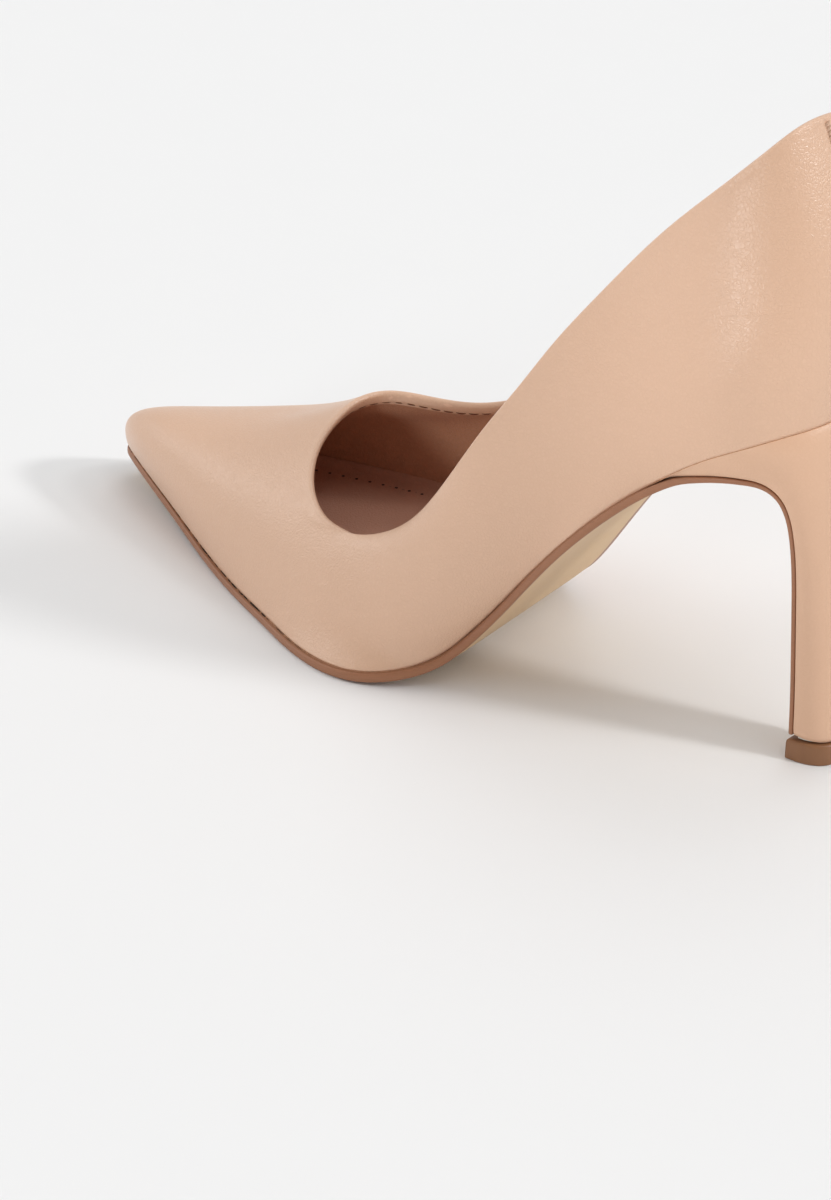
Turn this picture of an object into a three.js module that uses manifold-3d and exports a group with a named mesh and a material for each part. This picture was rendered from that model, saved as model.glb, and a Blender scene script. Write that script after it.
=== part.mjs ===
// Pointed court shoe (pump), left foot, with a slim covered heel.
// Millimetres. +X points to the toe, +Y to the shoe's left (outer) side, +Z up.
// Working numbers are measured from the toe tip; ORIGIN moves them to the middle of
// the bounding box on the floor.
import * as THREE from 'three';
import Module from 'manifold-3d';

// ---- driving constants -------------------------------------------------------
const ORIGIN = [106.455, -6.8085, 0];     // added to every point, mm
const UPPER_T = 1.0;              // upper material
const GAP = 0.3;                  // clearance left between neighbouring layers
const STIFF_T = 0.7;              // toe puff, side stays, heel counter
const LINING_T = 0.8;             // lining
const TOPLINE_ROLL = 0.35;        // how far the folded top edge stands proud
const LAST_MARGIN = 11;           // width of the upper turned under the foot
const SOLE_T = 2.2;               // outsole
const SOLE_OUTSET = 0.7;          // outsole beyond the feather line
const FLAP_T = 1.6;               // outsole skived down the heel breast
const BOARD_T = 1.4;              // insole board
const SHANK_W = 11, SHANK_T = 0.9;
const FOAM_T = 4.6, SOCK_T = 0.8;
const COVER_T = 0.8;              // heel cover
const STITCH_R = 0.3;             // thread radius
const STITCH_DEPTH = 3.0;         // topline stitching below the top edge
const TIP_H = 4.9;                // top piece thickness
const SEAT_K = 14.7;              // station of the heel breast notch along the bottom
const TUBE_X = -209.0, TUBE_R = 1.6, TUBE_BORE = 1.1, PIN_R = 0.8;
const SCREW_R = 1.8, NAIL_R = 0.8;
const WALL = UPPER_T + GAP + STIFF_T + GAP + LINING_T;

// Upper's outer surface: 40 ribs round the shoe (rib 0 up the centre back, then the
// outer side, rib 20 at the toe, then the inner side), 7 control points on each rib
// from the feather line to the top edge, x, y, z.
const NET = [
  [-211.3, -0, 83.1, -212.6, -0, 88.4, -213.8, -0, 98.9, -212, 0, 114.1, -207, 0, 129.1, -202.6, 0, 139.4, -199.7, 0.2, 145.3],
  [-209.8, 9.3, 82, -210.9, 9.8, 87.6, -211.7, 10.5, 98.2, -209.7, 10.5, 113.5, -205, 9.5, 128.6, -201.1, 8.6, 138.9, -199.2, 8.1, 144.6],
  [-205.7, 16.4, 80.9, -206.1, 17.4, 86, -205.9, 18.6, 96.2, -203.6, 18.5, 110.9, -199.5, 16.7, 125.4, -196.4, 15, 135.2, -195.5, 14.2, 139.9],
  [-199.3, 21.3, 77.9, -198.7, 22.3, 82.6, -197.3, 23.6, 91.8, -194.3, 23.2, 105.2, -190.5, 20.9, 118.4, -188, 18.8, 127.3, -187.2, 17.7, 131.4],
  [-190.1, 23.1, 73.1, -189.1, 24, 77.2, -186.9, 25, 85.3, -183.5, 24.3, 97.2, -180, 21.8, 108.9, -177.6, 19.7, 116.8, -176.1, 18.7, 120.8],
  [-181.3, 22.4, 66.7, -180, 23.9, 70.3, -177.7, 24.6, 77.7, -174.3, 23.8, 88.5, -170.9, 21.7, 99.3, -168.4, 19.8, 106.6, -166.8, 18.5, 110.6],
  [-170.5, 23.9, 58.1, -169.3, 25.1, 61.5, -167.4, 25.6, 68.4, -164.6, 25.1, 78.6, -161.5, 23.2, 88.8, -159.3, 21.4, 95.8, -158.1, 20.1, 99.5],
  [-160.4, 28.1, 47.8, -159.6, 26.6, 50.9, -158.1, 27.2, 57.6, -155.7, 27.2, 67.5, -153.1, 25.9, 77.4, -151.1, 24.4, 84.3, -149.8, 23.4, 88.2],
  [-149.7, 27.3, 35.6, -150, 28, 38.8, -149.2, 29.4, 45.6, -147.5, 30, 55.6, -145.4, 29, 65.7, -143.9, 27.9, 72.7, -143.2, 27, 76.2],
  [-140.1, 27.2, 23, -140.8, 30.1, 26.6, -140.4, 32.4, 33.8, -139.3, 33, 44.3, -137.9, 32, 54.7, -137, 30.8, 61.9, -136.7, 30.5, 66.2],
  [-131.5, 28.9, 12.3, -131.7, 33.3, 16.1, -131.2, 35.5, 23.4, -130.5, 35.4, 33.7, -129.7, 33.8, 43.9, -129.5, 32.2, 50.8, -129.8, 31.2, 55],
  [-125, 33.8, 4.6, -121.4, 37.7, 9.1, -120.2, 38.2, 15.8, -119.8, 36.8, 24.9, -119.7, 34.3, 33.5, -120.1, 32, 39.2, -121.4, 30.6, 42.2],
  [-113.2, 46.1, 2.4, -109.1, 41.3, 6.3, -107.8, 39.4, 12.2, -107.8, 37.1, 19.6, -108.6, 34.1, 26.4, -109.9, 31.5, 30.7, -111.8, 28.4, 32.4],
  [-95, 44.3, 1.9, -94.6, 41, 6.2, -93.8, 38.6, 11.8, -94.3, 36.3, 18.3, -96.1, 33.6, 23.9, -98.6, 31.6, 27, -100.5, 29.8, 26.9],
  [-80.2, 38.1, 2.1, -78.9, 36.9, 6.9, -78.7, 35.2, 12.7, -80.4, 33.2, 18.8, -83.6, 31.1, 23.8, -87.6, 30, 26.6, -92.7, 32.3, 28.2],
  [-64.1, 32.2, 1.9, -62.3, 31.5, 8.1, -63, 30.7, 14.3, -66.4, 29.4, 20.1, -71.8, 27.6, 24.8, -77.6, 26.4, 27.9, -82.8, 25.8, 29.3],
  [-46.1, 24, 2.4, -45.2, 25.5, 9.8, -47.3, 26, 16.3, -53, 25.1, 21.8, -61.1, 23.4, 26.2, -69.3, 21.5, 29.9, -76.1, 19.5, 33.3],
  [-28.8, 15.4, 3.6, -28.4, 19.7, 12, -32.4, 21.3, 18.7, -41.1, 20.5, 23.6, -52.3, 18.5, 27.6, -63.3, 16, 31.8, -73.5, 13, 36.7],
  [-13.4, 8.9, 5.6, -13.6, 14.6, 14.7, -19.7, 16.5, 21.3, -31.7, 15.5, 25.1, -45.9, 13.3, 28.6, -59.6, 10.4, 33.1, -72.4, 6.7, 39.3],
  [-2.4, 4.5, 7.6, -3.2, 9.9, 16.8, -11.2, 11.2, 23.3, -26, 10.1, 25.9, -42.4, 7.8, 29.1, -58, 5, 33.5, -71.9, 1.4, 41.2],
  [1.4, 2.4, 8, -0.4, 4.4, 17.1, -9.3, 5, 23.1, -25, 4.1, 25.7, -42, 2.1, 29.6, -58.4, -0.1, 33.5, -72.3, -3.4, 41.8],
  [-1.7, -4, 7.4, -5.6, -2.1, 15.3, -14.5, -1.7, 20.9, -28.6, -2.4, 25.6, -44.7, -3.7, 30.2, -60.4, -5.2, 34.5, -73.7, -7.8, 41.9],
  [-11.2, -9.1, 5.4, -16.4, -8.8, 13, -24.3, -8.5, 19.2, -36.2, -8.7, 25, -50.5, -9.1, 30.1, -64.6, -9.8, 35.6, -77.6, -10.8, 42.1],
  [-27.3, -14.9, 3.4, -30.8, -15.2, 11.1, -36.8, -15, 18.3, -46.2, -14.9, 25.4, -58.4, -14.5, 31, -71.3, -13.6, 35.9, -83.7, -12.7, 42],
  [-45.9, -21.7, 2.5, -47.1, -21.3, 10, -51.1, -20.8, 17.7, -58.3, -20.2, 25.6, -68.2, -19.1, 31.9, -79.4, -17.3, 36.7, -90.7, -15.3, 41.5],
  [-64, -27.8, 2.1, -63.8, -26.3, 9.3, -66.2, -25.4, 17.3, -71.6, -24.5, 25.8, -79.4, -23, 33.1, -88.3, -21, 38.2, -97.5, -19, 41.7],
  [-80.2, -31.3, 2.3, -80.1, -29.6, 8.7, -81.7, -28.8, 17, -85.5, -27.9, 26.4, -91.1, -26.3, 34.9, -97.6, -24.6, 40.7, -104.3, -23.1, 44.1],
  [-95.2, -31.4, 2, -95.5, -30.6, 8.4, -96.8, -30.6, 17, -99.4, -30.2, 27.7, -103, -29, 37.6, -107, -27.7, 44.4, -110.9, -26.9, 48.5],
  [-109.3, -27.3, 3, -109.9, -28.4, 9.1, -111.3, -29.9, 18.3, -113.2, -30.7, 30.2, -115, -30.5, 41.7, -116.6, -30, 49.9, -118.1, -29.8, 54.8],
  [-121.3, -21.3, 6.6, -121.9, -24, 12.6, -123, -27.1, 22.3, -124.1, -29.6, 35.7, -124.7, -30.5, 48.7, -125.1, -30.8, 57.7, -125.7, -30.8, 62.6],
  [-131, -17.1, 16, -131.6, -20.4, 21.3, -132.3, -24.6, 30.7, -132.8, -28.1, 44.2, -132.8, -29.9, 57.4, -132.6, -30.6, 66.6, -132.2, -31, 71.7],
  [-141, -15.2, 30.1, -141.2, -18.3, 34.2, -141.3, -22.6, 42.6, -141, -26.5, 54.9, -140.5, -28.6, 67.2, -139.9, -29.5, 75.7, -139.5, -29.8, 80.3],
  [-151, -14.8, 44.2, -150.8, -17.5, 47.4, -150.2, -21.5, 54.7, -149.2, -25.1, 65.7, -148.1, -27.1, 76.7, -147.2, -28, 84.3, -146.4, -28.4, 88.7],
  [-161, -15.5, 55.4, -160.4, -17.9, 58.3, -159.2, -21.2, 65.1, -157.6, -24.1, 75.3, -156.1, -25.6, 85.5, -154.9, -26.1, 92.6, -153.9, -26.4, 96.6],
  [-171, -17.9, 62.2, -170.1, -19.7, 65.9, -168.3, -22, 72.9, -166, -23.8, 83.2, -164, -24.3, 93.5, -162.6, -24.1, 100.5, -162, -23.8, 103.8],
  [-181.1, -21.6, 68.9, -179.9, -22.6, 72.5, -177.8, -23.9, 80, -175, -24.3, 91, -172.5, -23.4, 101.9, -170.9, -22.2, 109.2, -170, -21.4, 112.8],
  [-190.1, -22.5, 73.1, -189.2, -23.4, 77.6, -187.2, -24.5, 85.9, -184.2, -24.3, 98, -181.2, -22.4, 109.9, -179.1, -20.6, 117.9, -177.9, -19.5, 121.9],
  [-199.4, -20.9, 77.9, -198.8, -21.9, 82.5, -197.5, -23.2, 91.8, -194.7, -22.9, 105.2, -191.2, -20.6, 118.5, -188.6, -18.6, 127.5, -187.2, -17.6, 132.3],
  [-205.7, -15.9, 80.8, -206.1, -16.9, 86, -206, -18.2, 96.2, -203.8, -18.2, 110.9, -199.8, -16.4, 125.5, -196.5, -14.8, 135.4, -195.1, -14.2, 140.7],
  [-209.8, -9.1, 82.3, -210.9, -9.6, 87.8, -211.7, -10.3, 98.3, -209.7, -10.3, 113.6, -205.1, -9.3, 128.7, -201.1, -8.4, 139, -199.3, -8, 143.9]
];
// Outsole's breast flap, outer face seen from the side, with its half width: x, z, y.
const FLAP = [
  [-180.2, 62.9, 22.4], [-182.6, 64.7, 22.1], [-187.9, 66.6, 21.2], [-192.5, 67.7, 20.1], [-196.5, 68.2, 18.8],
  [-199.8, 68.1, 17.4], [-202.2, 67.2, 16.3], [-204.0, 65.4, 15.3], [-205.2, 62.6, 14.4], [-205.7, 58.5, 13.3],
  [-205.4, 52, 11.5], [-204.9, 45, 10], [-204.5, 38, 9], [-204.1, 30, 8], [-203.9, 22, 7.3], [-203.7, 14, 6.7],
  [-203.5, 6.2, 6.3]];
// Heel's centre back, one entry for each FLAP entry: x, z.
const HEEL_BACK = [
  [-210.8, 82.4], [-211.3, 81.4], [-211.9, 79.6], [-212.3, 77.8], [-212.6, 75.8],
  [-212.8, 73.6], [-213.0, 71.2], [-213.1, 68.4], [-213.15, 65.0], [-213.15, 60.0],
  [-213.1, 52.6], [-212.9, 45.2], [-212.8, 38], [-212.6, 30], [-212.5, 22], [-212.4, 14],
  [-212.3, 5.2]];

// ---- surface evaluation ------------------------------------------------------
const NT = NET.length, NH = NET[0].length / 3;
const KN = [0, 0, 0, 0, 0.25, 0.5, 0.75, 1, 1, 1, 1];
function basisH(h) {
  h = Math.min(Math.max(h, 0), 1 - 1e-9);
  const n = NH + 3;
  let B = new Array(n + 1).fill(0);
  for (let i = 0; i < n; i++) B[i] = h >= KN[i] && h < KN[i + 1] ? 1 : 0;
  for (let q = 1; q <= 3; q++)
    for (let i = 0; i < n - q; i++) {
      const a = KN[i + q] > KN[i] ? (h - KN[i]) / (KN[i + q] - KN[i]) * B[i] : 0;
      const b = KN[i + q + 1] > KN[i + 1] ? (KN[i + q + 1] - h) / (KN[i + q + 1] - KN[i + 1]) * B[i + 1] : 0;
      B[i] = a + b;
    }
  return B.slice(0, NH);
}
function S(t, h) {
  t = ((t % NT) + NT) % NT;
  const i = Math.floor(t), u = t - i;
  const w = [(1 - u) ** 3 / 6, (3 * u ** 3 - 6 * u * u + 4) / 6, (-3 * u ** 3 + 3 * u * u + 3 * u + 1) / 6, u ** 3 / 6];
  const bh = basisH(h), p = [0, 0, 0];
  for (let a = 0; a < 4; a++) {
    const row = NET[(i + a - 1 + NT) % NT];
    for (let b = 0; b < NH; b++) for (let c = 0; c < 3; c++) p[c] += w[a] * bh[b] * row[3 * b + c];
  }
  return p;
}
const add = (a, b, s = 1) => [a[0] + s * b[0], a[1] + s * b[1], a[2] + s * b[2]];
const sub = (a, b) => add(a, b, -1);
const dot = (a, b) => a[0] * b[0] + a[1] * b[1] + a[2] * b[2];
const cross = (a, b) => [a[1] * b[2] - a[2] * b[1], a[2] * b[0] - a[0] * b[2], a[0] * b[1] - a[1] * b[0]];
const len = (a) => Math.hypot(...a);
const unit = (a) => { const l = len(a) || 1; return [a[0] / l, a[1] / l, a[2] / l]; };
const mix = (a, b, s) => a.map((v, i) => v + (b[i] - v) * s);
function normal(t, h) {
  const h0 = Math.min(Math.max(h, 0.012), 0.988);
  return unit(cross(sub(S(t, h0 + 0.012), S(t, h0 - 0.012)), sub(S(t + 0.12, h0), S(t - 0.12, h0))));
}
// point at a depth below the outer surface
const W = (t, h, d) => add(S(t, h), normal(t, h), -d);
function ribLength(t) {
  let l = 0;
  for (let i = 0; i < 12; i++) l += len(sub(S(t, (i + 1) / 12), S(t, i / 12)));
  return l;
}

// ---- bottom plane of the shoe: stations k = 0 (toe) .. 20 (back), w = 0 outer .. 1 inner side
function bottomNormal(k) {
  const c = (q) => mix(S(20 - q, 0), S(20 + q, 0), 0.5);
  const k0 = Math.min(Math.max(k, 0.6), 19.4);
  const T = unit(sub(c(k0 - 0.5), c(k0 + 0.5)));
  let w = sub(S(20 - k, 0), S(20 + k, 0));
  const l = len(w);
  w = unit(mix([0, 1, 0], unit(w), Math.min(1, l / 25)));
  const n = unit(cross(T, w));
  return n[2] < 0 ? n.map((v) => -v) : n;
}
// the ruled bottom as a height and a normal over the plan
const LINES = Array.from({ length: 198 }, (_, i) => { const k = 0.15 + i * 0.1; return [k, S(20 - k, 0), S(20 + k, 0)]; });
function ground(x, y) {
  const at = ([, a, b]) => { const s = (a[1] - y) / (a[1] - b[1]); return a[0] + (b[0] - a[0]) * Math.min(1.2, Math.max(-0.2, s)); };
  let lo = 0, hi = LINES.length - 1;
  while (hi - lo > 1) { const m = (lo + hi) >> 1; if (at(LINES[m]) > x) lo = m; else hi = m; }
  const xa = at(LINES[lo]), xb = at(LINES[hi]), f = (xa - x) / (xa - xb || 1);
  const zAt = ([, a, b]) => a[2] + (b[2] - a[2]) * Math.min(1.2, Math.max(-0.2, (a[1] - y) / (a[1] - b[1])));
  return { z: zAt(LINES[lo]) + (zAt(LINES[hi]) - zAt(LINES[lo])) * f, n: bottomNormal(LINES[lo][0] + 0.1 * f) };
}
function inward(t) {
  const d = sub(S(t + 0.15, 0), S(t - 0.15, 0));
  return unit([d[1], -d[0], 0]);
}
// a point on the bottom, a plan distance in from the feather line, lifted by off
function feather(t, inset, off) {
  const f = add(S(t, 0), inward(t), inset), g = ground(f[0], f[1]);
  return add([f[0], f[1], g.z], g.n, off);
}
function bottom(k, w, inset, off) {
  const a = feather(20 - k, typeof inset === 'function' ? inset(20 - k) : inset, 0);
  const b = feather(20 + k, typeof inset === 'function' ? inset(20 + k) : inset, 0);
  const p = mix(a, b, w), g = ground(p[0], p[1]);
  return add([p[0], p[1], g.z], g.n, off);
}
// smallest inset that keeps a plate between two heights clear of the finished wall
function clearInset(t, lo, hi) {
  const f = S(t, 0), nin = inward(t);
  let best = WALL + GAP;
  for (let h = 0; h < 0.45; h += 0.015) {
    const p = W(t, h, WALL + GAP + 0.1), g = ground(p[0], p[1]), up = (p[2] - g.z) * g.n[2];
    if (up > lo - 0.8 && up < hi + 0.8) best = Math.max(best, dot(nin, sub(p, f)));
  }
  return best;
}

// ---- mesh helpers ------------------------------------------------------------
function meshFrom(P, F) {
  let v = 0;
  for (const [a, b, c] of F) v += dot(P[a], cross(P[b], P[c]));
  const pos = new Float32Array(P.length * 3), idx = [];
  P.forEach((p, i) => { for (let c = 0; c < 3; c++) pos[3 * i + c] = p[c] + ORIGIN[c]; });
  for (const [a, b, c] of F) if (v > 0) idx.push(a, b, c); else idx.push(a, c, b);
  const g = new THREE.BufferGeometry();
  g.setAttribute('position', new THREE.BufferAttribute(pos, 3));
  g.setIndex(idx);
  return g;
}
// two matching grids of points joined into one closed wall; wrap closes the first direction
function shell(A, B, wrap = false) {
  const n = A.length, m = A[0].length, P = [], F = [];
  const id = (s, i, j) => s * n * m + (i % n) * m + j;
  for (const G of [A, B]) for (const r of G) for (const p of r) P.push(p);
  const quad = (a, b, c, d) => F.push([a, b, c], [a, c, d]);
  const ni = wrap ? n : n - 1;
  for (let i = 0; i < ni; i++) {
    for (let j = 0; j < m - 1; j++) {
      quad(id(0, i, j), id(0, i + 1, j), id(0, i + 1, j + 1), id(0, i, j + 1));
      quad(id(1, i, j), id(1, i, j + 1), id(1, i + 1, j + 1), id(1, i + 1, j));
    }
    quad(id(0, i, 0), id(1, i, 0), id(1, i + 1, 0), id(0, i + 1, 0));
    quad(id(0, i, m - 1), id(0, i + 1, m - 1), id(1, i + 1, m - 1), id(1, i, m - 1));
  }
  if (!wrap) for (let j = 0; j < m - 1; j++) {
    quad(id(0, 0, j), id(0, 0, j + 1), id(1, 0, j + 1), id(1, 0, j));
    quad(id(0, n - 1, j), id(1, n - 1, j), id(1, n - 1, j + 1), id(0, n - 1, j + 1));
  }
  return meshFrom(P, F);
}
// thin cord of square section along a path; frames are [point, outward, sideways]
function cord(path, r, wrap) {
  const P = [], F = [], n = path.length;
  for (const [p, o, s] of path) for (const [a, b] of [[1, 1], [1, -1], [-1, -1], [-1, 1]]) P.push(add(add(p, o, a * r * 0.8), s, b * r * 0.8));
  for (let i = 0; i < (wrap ? n : n - 1); i++) for (let q = 0; q < 4; q++) {
    const a = 4 * i + q, b = 4 * i + (q + 1) % 4, c = 4 * ((i + 1) % n) + (q + 1) % 4, d = 4 * ((i + 1) % n) + q;
    F.push([a, b, c], [a, c, d]);
  }
  if (!wrap) { F.push([0, 3, 2], [0, 2, 1]); const z = 4 * (n - 1); F.push([z, z + 1, z + 2], [z, z + 2, z + 3]); }
  return meshFrom(P, F);
}
// stack of rings joined into a solid, ends closed
function stack(rings) {
  const m = rings[0].length, P = rings.flat(), F = [];
  for (let i = 0; i < rings.length - 1; i++) for (let j = 0; j < m; j++) {
    const a = i * m + j, b = i * m + (j + 1) % m;
    F.push([a, b, b + m], [a, b + m, a + m]);
  }
  // ends: strips across, each point to its mirror on the other side
  for (const [o, flip] of [[0, 1], [(rings.length - 1) * m, 0]])
    for (let j = 0; j < m / 2 - 1; j++) {
      const a = o + j, b = o + j + 1, c = o + m - 2 - j, d = o + m - 1 - j;
      const q = b === c ? [[a, b, d]] : [[a, b, c], [a, c, d]];
      for (const f of q) F.push(flip ? [f[0], f[2], f[1]] : f);
    }
  return meshFrom(P, F);
}
function rod(p, axis, r, l, sides = 10) {
  const a = unit(axis), u = unit(cross(a, Math.abs(a[0]) < 0.9 ? [1, 0, 0] : [0, 1, 0])), v = cross(a, u), rings = [];
  for (const s of [0, l]) {
    const ring = [];
    for (let i = 0; i < sides; i++) { const q = (i + 0.5) / sides * 2 * Math.PI; ring.push(add(add(add(p, a, s), u, r * Math.cos(q)), v, r * Math.sin(q))); }
    rings.push(ring);
  }
  return stack(rings);
}
const wasm = await Module();
wasm.setup();
function toManifold(g) {
  const m = new wasm.Mesh({ numProp: 3, vertProperties: g.attributes.position.array, triVerts: new Uint32Array(g.index.array) });
  m.merge();
  return new wasm.Manifold(m);
}
function minus(g, tools) {
  let m = toManifold(g);
  for (const t of tools) m = m.subtract(toManifold(t));
  const r = m.getMesh(), out = new THREE.BufferGeometry();
  out.setAttribute('position', new THREE.BufferAttribute(new Float32Array(r.vertProperties), 3));
  out.setIndex(Array.from(r.triVerts));
  return out;
}

// ---- sampling ----------------------------------------------------------------
const range = (a, b, n) => Array.from({ length: n + 1 }, (_, i) => a + (b - a) * i / n);
const HALF = [...range(0, 5, 9).slice(0, -1), 5, 6, 7, 8, 8.5, 9, 9.5, 10, 10.5, 11, 11.5, 12, 12.5, 13, 13.5, 14, 15, ...range(16, 20, 7)];
const RIBS = [...HALF, ...HALF.slice(1, -1).reverse().map((t) => 40 - t)];
const STATIONS = HALF.map((t) => 20 - t).reverse();
const HS = [0, 0.06, 0.14, 0.22, 0.32, 0.46, 0.64, 0.84];
const station = (t) => Math.abs(20 - t);

// ---- pieces ------------------------------------------------------------------
const group = new THREE.Group();
group.name = 'high_heel_pump';
function piece(name, geometry, color, roughness, metalness = 0) {
  const m = new THREE.Mesh(geometry, new THREE.MeshStandardMaterial({ color, roughness, metalness }));
  m.name = name;
  group.add(m);
}
const NUDE = 0xd9b596, PINK = 0xc59c86, BROWN = 0x9a6a4c, CREAM = 0xc9b48f, STEEL = 0xa9adb2, BOARD = 0xb89f7a, THREAD = 0xd0a88c, WHITE = 0xe6e1d8;

// upper: margin turned under the foot, wall, and a folded top edge as thick as the whole wall
{
  const A = [], B = [];
  for (const t of RIBS) {
    const k = station(t), L = ribLength(t), m = LAST_MARGIN * Math.min(1, 0.25 + k / 3, 0.4 + (20 - k) / 8);
    const a = [feather(t, m, 0.1), feather(t, m / 2, 0.1), feather(t, 0, 0.1)];
    const b = [feather(t, m, 0.1 + UPPER_T), feather(t, Math.max(UPPER_T, m / 2), 0.1 + UPPER_T), feather(t, UPPER_T, 0.1 + UPPER_T)];
    for (const h of HS.slice(1)) { a.push(S(t, h)); b.push(W(t, h, UPPER_T)); }
    const e1 = 1 - 3.4 / L, e2 = 1 - 3.1 / L, e3 = 1 - 1.2 / L;
    a.push(S(t, e1)); b.push(W(t, e1, UPPER_T));
    a.push(W(t, e2, -TOPLINE_ROLL * 0.3)); b.push(W(t, e2, WALL));
    a.push(W(t, e3, -TOPLINE_ROLL)); b.push(W(t, e3, WALL + 0.1));
    a.push(W(t, 1, 0.7)); b.push(W(t, 1, WALL - 0.7));
    A.push(a); B.push(b);
  }
  piece('upper', shell(A, B, true), NUDE, 0.5);
}
// lining, ending just under the fold
const layer = (ribs, d0, d1, low, top, last, wrap) => {
  const A = [], B = [];
  for (const t of ribs) {
    const L = ribLength(t), hs = [low / L, ...HS.slice(2, last)];
    if (top) hs.push(1 - top / L);
    A.push(hs.map((h) => W(t, h, d0)));
    B.push(hs.map((h) => W(t, h, d1)));
  }
  return shell(A, B, wrap);
};
piece('lining', layer(RIBS, WALL - LINING_T, WALL, 3.2, 3.6, 8, true), PINK, 0.55);
const D0 = UPPER_T + GAP, D1 = D0 + STIFF_T;
const pick = (a, b) => RIBS.filter((t) => t >= a - 1e-6 && t <= b + 1e-6);
piece('heel_counter', layer([...pick(34, 39.9), ...pick(0, 6)], D0, D1, 2.6, 12, 7, false), WHITE, 0.8);
piece('side_stay_outer', layer(pick(7, 13), D0 + 0.05, D1, 2.6, 5, 7, false), WHITE, 0.8);
piece('side_stay_inner', layer(pick(27, 33), D0 + 0.05, D1, 2.6, 5, 7, false), WHITE, 0.8);
piece('toe_puff', layer(pick(14.9, 25.1), D0 + 0.1, D1, 2.6, 0, 6, false), WHITE, 0.8);
{
  // stitching round the inside of the top edge, and up the centre back
  const path = RIBS.map((t) => {
    const h = 1 - STITCH_DEPTH / ribLength(t), n = normal(t, h);
    return [W(t, h, WALL + 0.1 + GAP + STITCH_R), n, unit(cross(n, sub(S(t + 0.1, h), S(t - 0.1, h))))];
  });
  piece('topline_stitching', cord(path, STITCH_R, true), THREAD, 0.7);
  const back = range(0.04, 0.93, 9).map((h) => [W(0, h, -GAP - STITCH_R), [-1, 0, 0], [0, 1, 0]]);
  piece('back_seam_stitching', cord(back, STITCH_R, false), THREAD, 0.7);
  const n = normal(0, 0.965), c = W(0, 0.965, -GAP - TOPLINE_ROLL - 0.25), up = unit(sub(S(0, 0.99), S(0, 0.94)));
  const rings = [-0.25, 0.25].map((d) => [[-2.2, -0.6], [2.2, -0.6], [2.2, 0.6], [-2.2, 0.6]].map(([y, z]) => add(add(add(c, n, d), [0, 1, 0], y), up, z)));
  piece('bar_tack', stack(rings), THREAD, 0.7);
}

// bottom pieces, each a plate that follows the ruled bottom
function plate(k0, k1, ws, inset, lo, hi, fit) {
  const A = [], B = [];
  for (const k of [k0, ...STATIONS.filter((q) => q > k0 + 0.15 && q < k1 - 0.15), k1]) {
    A.push(ws.map((w) => { const p = bottom(k, w, inset, lo); return fit ? fit(p, k, w) : p; }));
    B.push(ws.map((w) => bottom(k, w, inset, hi)));
  }
  return shell(A, B);
}
const DROP = 0.15;   // tread is cut flat at the floor
const BOARD_Z = 0.15 + UPPER_T + GAP, FOAM_Z = BOARD_Z + BOARD_T + GAP, SOCK_Z = FOAM_Z + FOAM_T + GAP;
piece('outsole', plate(0.3, SEAT_K, [0, 0.06, 0.35, 0.65, 0.94, 1], (t) => -SOLE_OUTSET * Math.min(1, station(t) / 4), -SOLE_T, -0.35, (p, k, w) => {
  if (w === 0 || w === 1) p = add(p, bottomNormal(k), 0.6);
  return [p[0], p[1], Math.max(0, p[2] - DROP)];
}), BROWN, 0.5);
piece('forepart_filler', plate(3.4, 8.4, [0, 0.5, 1], LAST_MARGIN + 1.2, 0.2, 1.1), BOARD, 0.9);
piece('insole_foam', plate(2.2, 18.4, [0, 0.5, 1], (t) => clearInset(t, FOAM_Z, FOAM_Z + FOAM_T) + 1, FOAM_Z, FOAM_Z + FOAM_T), WHITE, 0.9);
piece('sock', plate(1.9, 18.9, [0, 0.25, 0.75, 1], (t) => clearInset(t, SOCK_Z, SOCK_Z + SOCK_T), SOCK_Z, SOCK_Z + SOCK_T), PINK, 0.6);
{
  const ks = STATIONS.filter((k) => k > 4.3 && k < 18.4), off = SOCK_Z + SOCK_T + GAP + STITCH_R;
  const at = (t) => { const p = feather(t, clearInset(t, SOCK_Z, SOCK_Z + SOCK_T) + 4, off); return p; };
  const path = [...ks.map((k) => 20 - k), ...ks.slice().reverse().map((k) => 20 + k)].map((t) => [at(t), bottomNormal(station(t)), null]);
  path.forEach((f, i) => { const a = path[(i + 1) % path.length][0], b = path[(i + path.length - 1) % path.length][0]; f[2] = unit(cross(f[1], sub(a, b))); });
  piece('sock_stitching', cord(path, STITCH_R, true), THREAD, 0.7);
}
{
  const A = [], B = [];
  for (const k of STATIONS.filter((q) => q > 8.9 && q < 16.1)) {
    const half = SHANK_W / 2 * Math.min(1, 0.6 + Math.min(k - 9, 16 - k) * 0.6);
    const c = mix(S(20 - k, 0), S(20 + k, 0), 0.5);
    const at = (y, off) => { const g = ground(c[0], c[1] + y); return add([c[0], c[1] + y, g.z], g.n, off); };
    A.push([-half, half].map((y) => at(y, 0.15)));
    B.push([-half, half].map((y) => at(y, 0.15 + SHANK_T)));
  }
  piece('steel_shank', shell(A, B), STEEL, 0.35, 1);
}

// ---- heel ----------------------------------------------------------------------
function flapPoint(i, off) {
  const a = FLAP[Math.max(0, i - 1)], b = FLAP[Math.min(FLAP.length - 1, i + 1)], p = FLAP[i];
  const l = Math.hypot(b[0] - a[0], b[1] - a[1]), tx = (b[0] - a[0]) / l, tz = (b[1] - a[1]) / l;
  return [p[0] + tz * off, p[1] - tx * off, p[2]];
}
{
  const A = [], B = [], ws = [-1, -0.4, 0.4, 1];
  FLAP.forEach((p, i) => {
    const q = flapPoint(i, FLAP_T);
    const twist = Math.max(0, 1.8 - 0.45 * i);   // the inner side of the waist stands higher
    A.push(ws.map((w) => [p[0], w * p[2], p[1] + twist * (1 - w) / 2]));
    B.push(ws.map((w) => [q[0], w * p[2], q[1] + twist * (1 - w) / 2]));
  });
  piece('breast_flap', shell(A, B), BROWN, 0.5);
}
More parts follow.
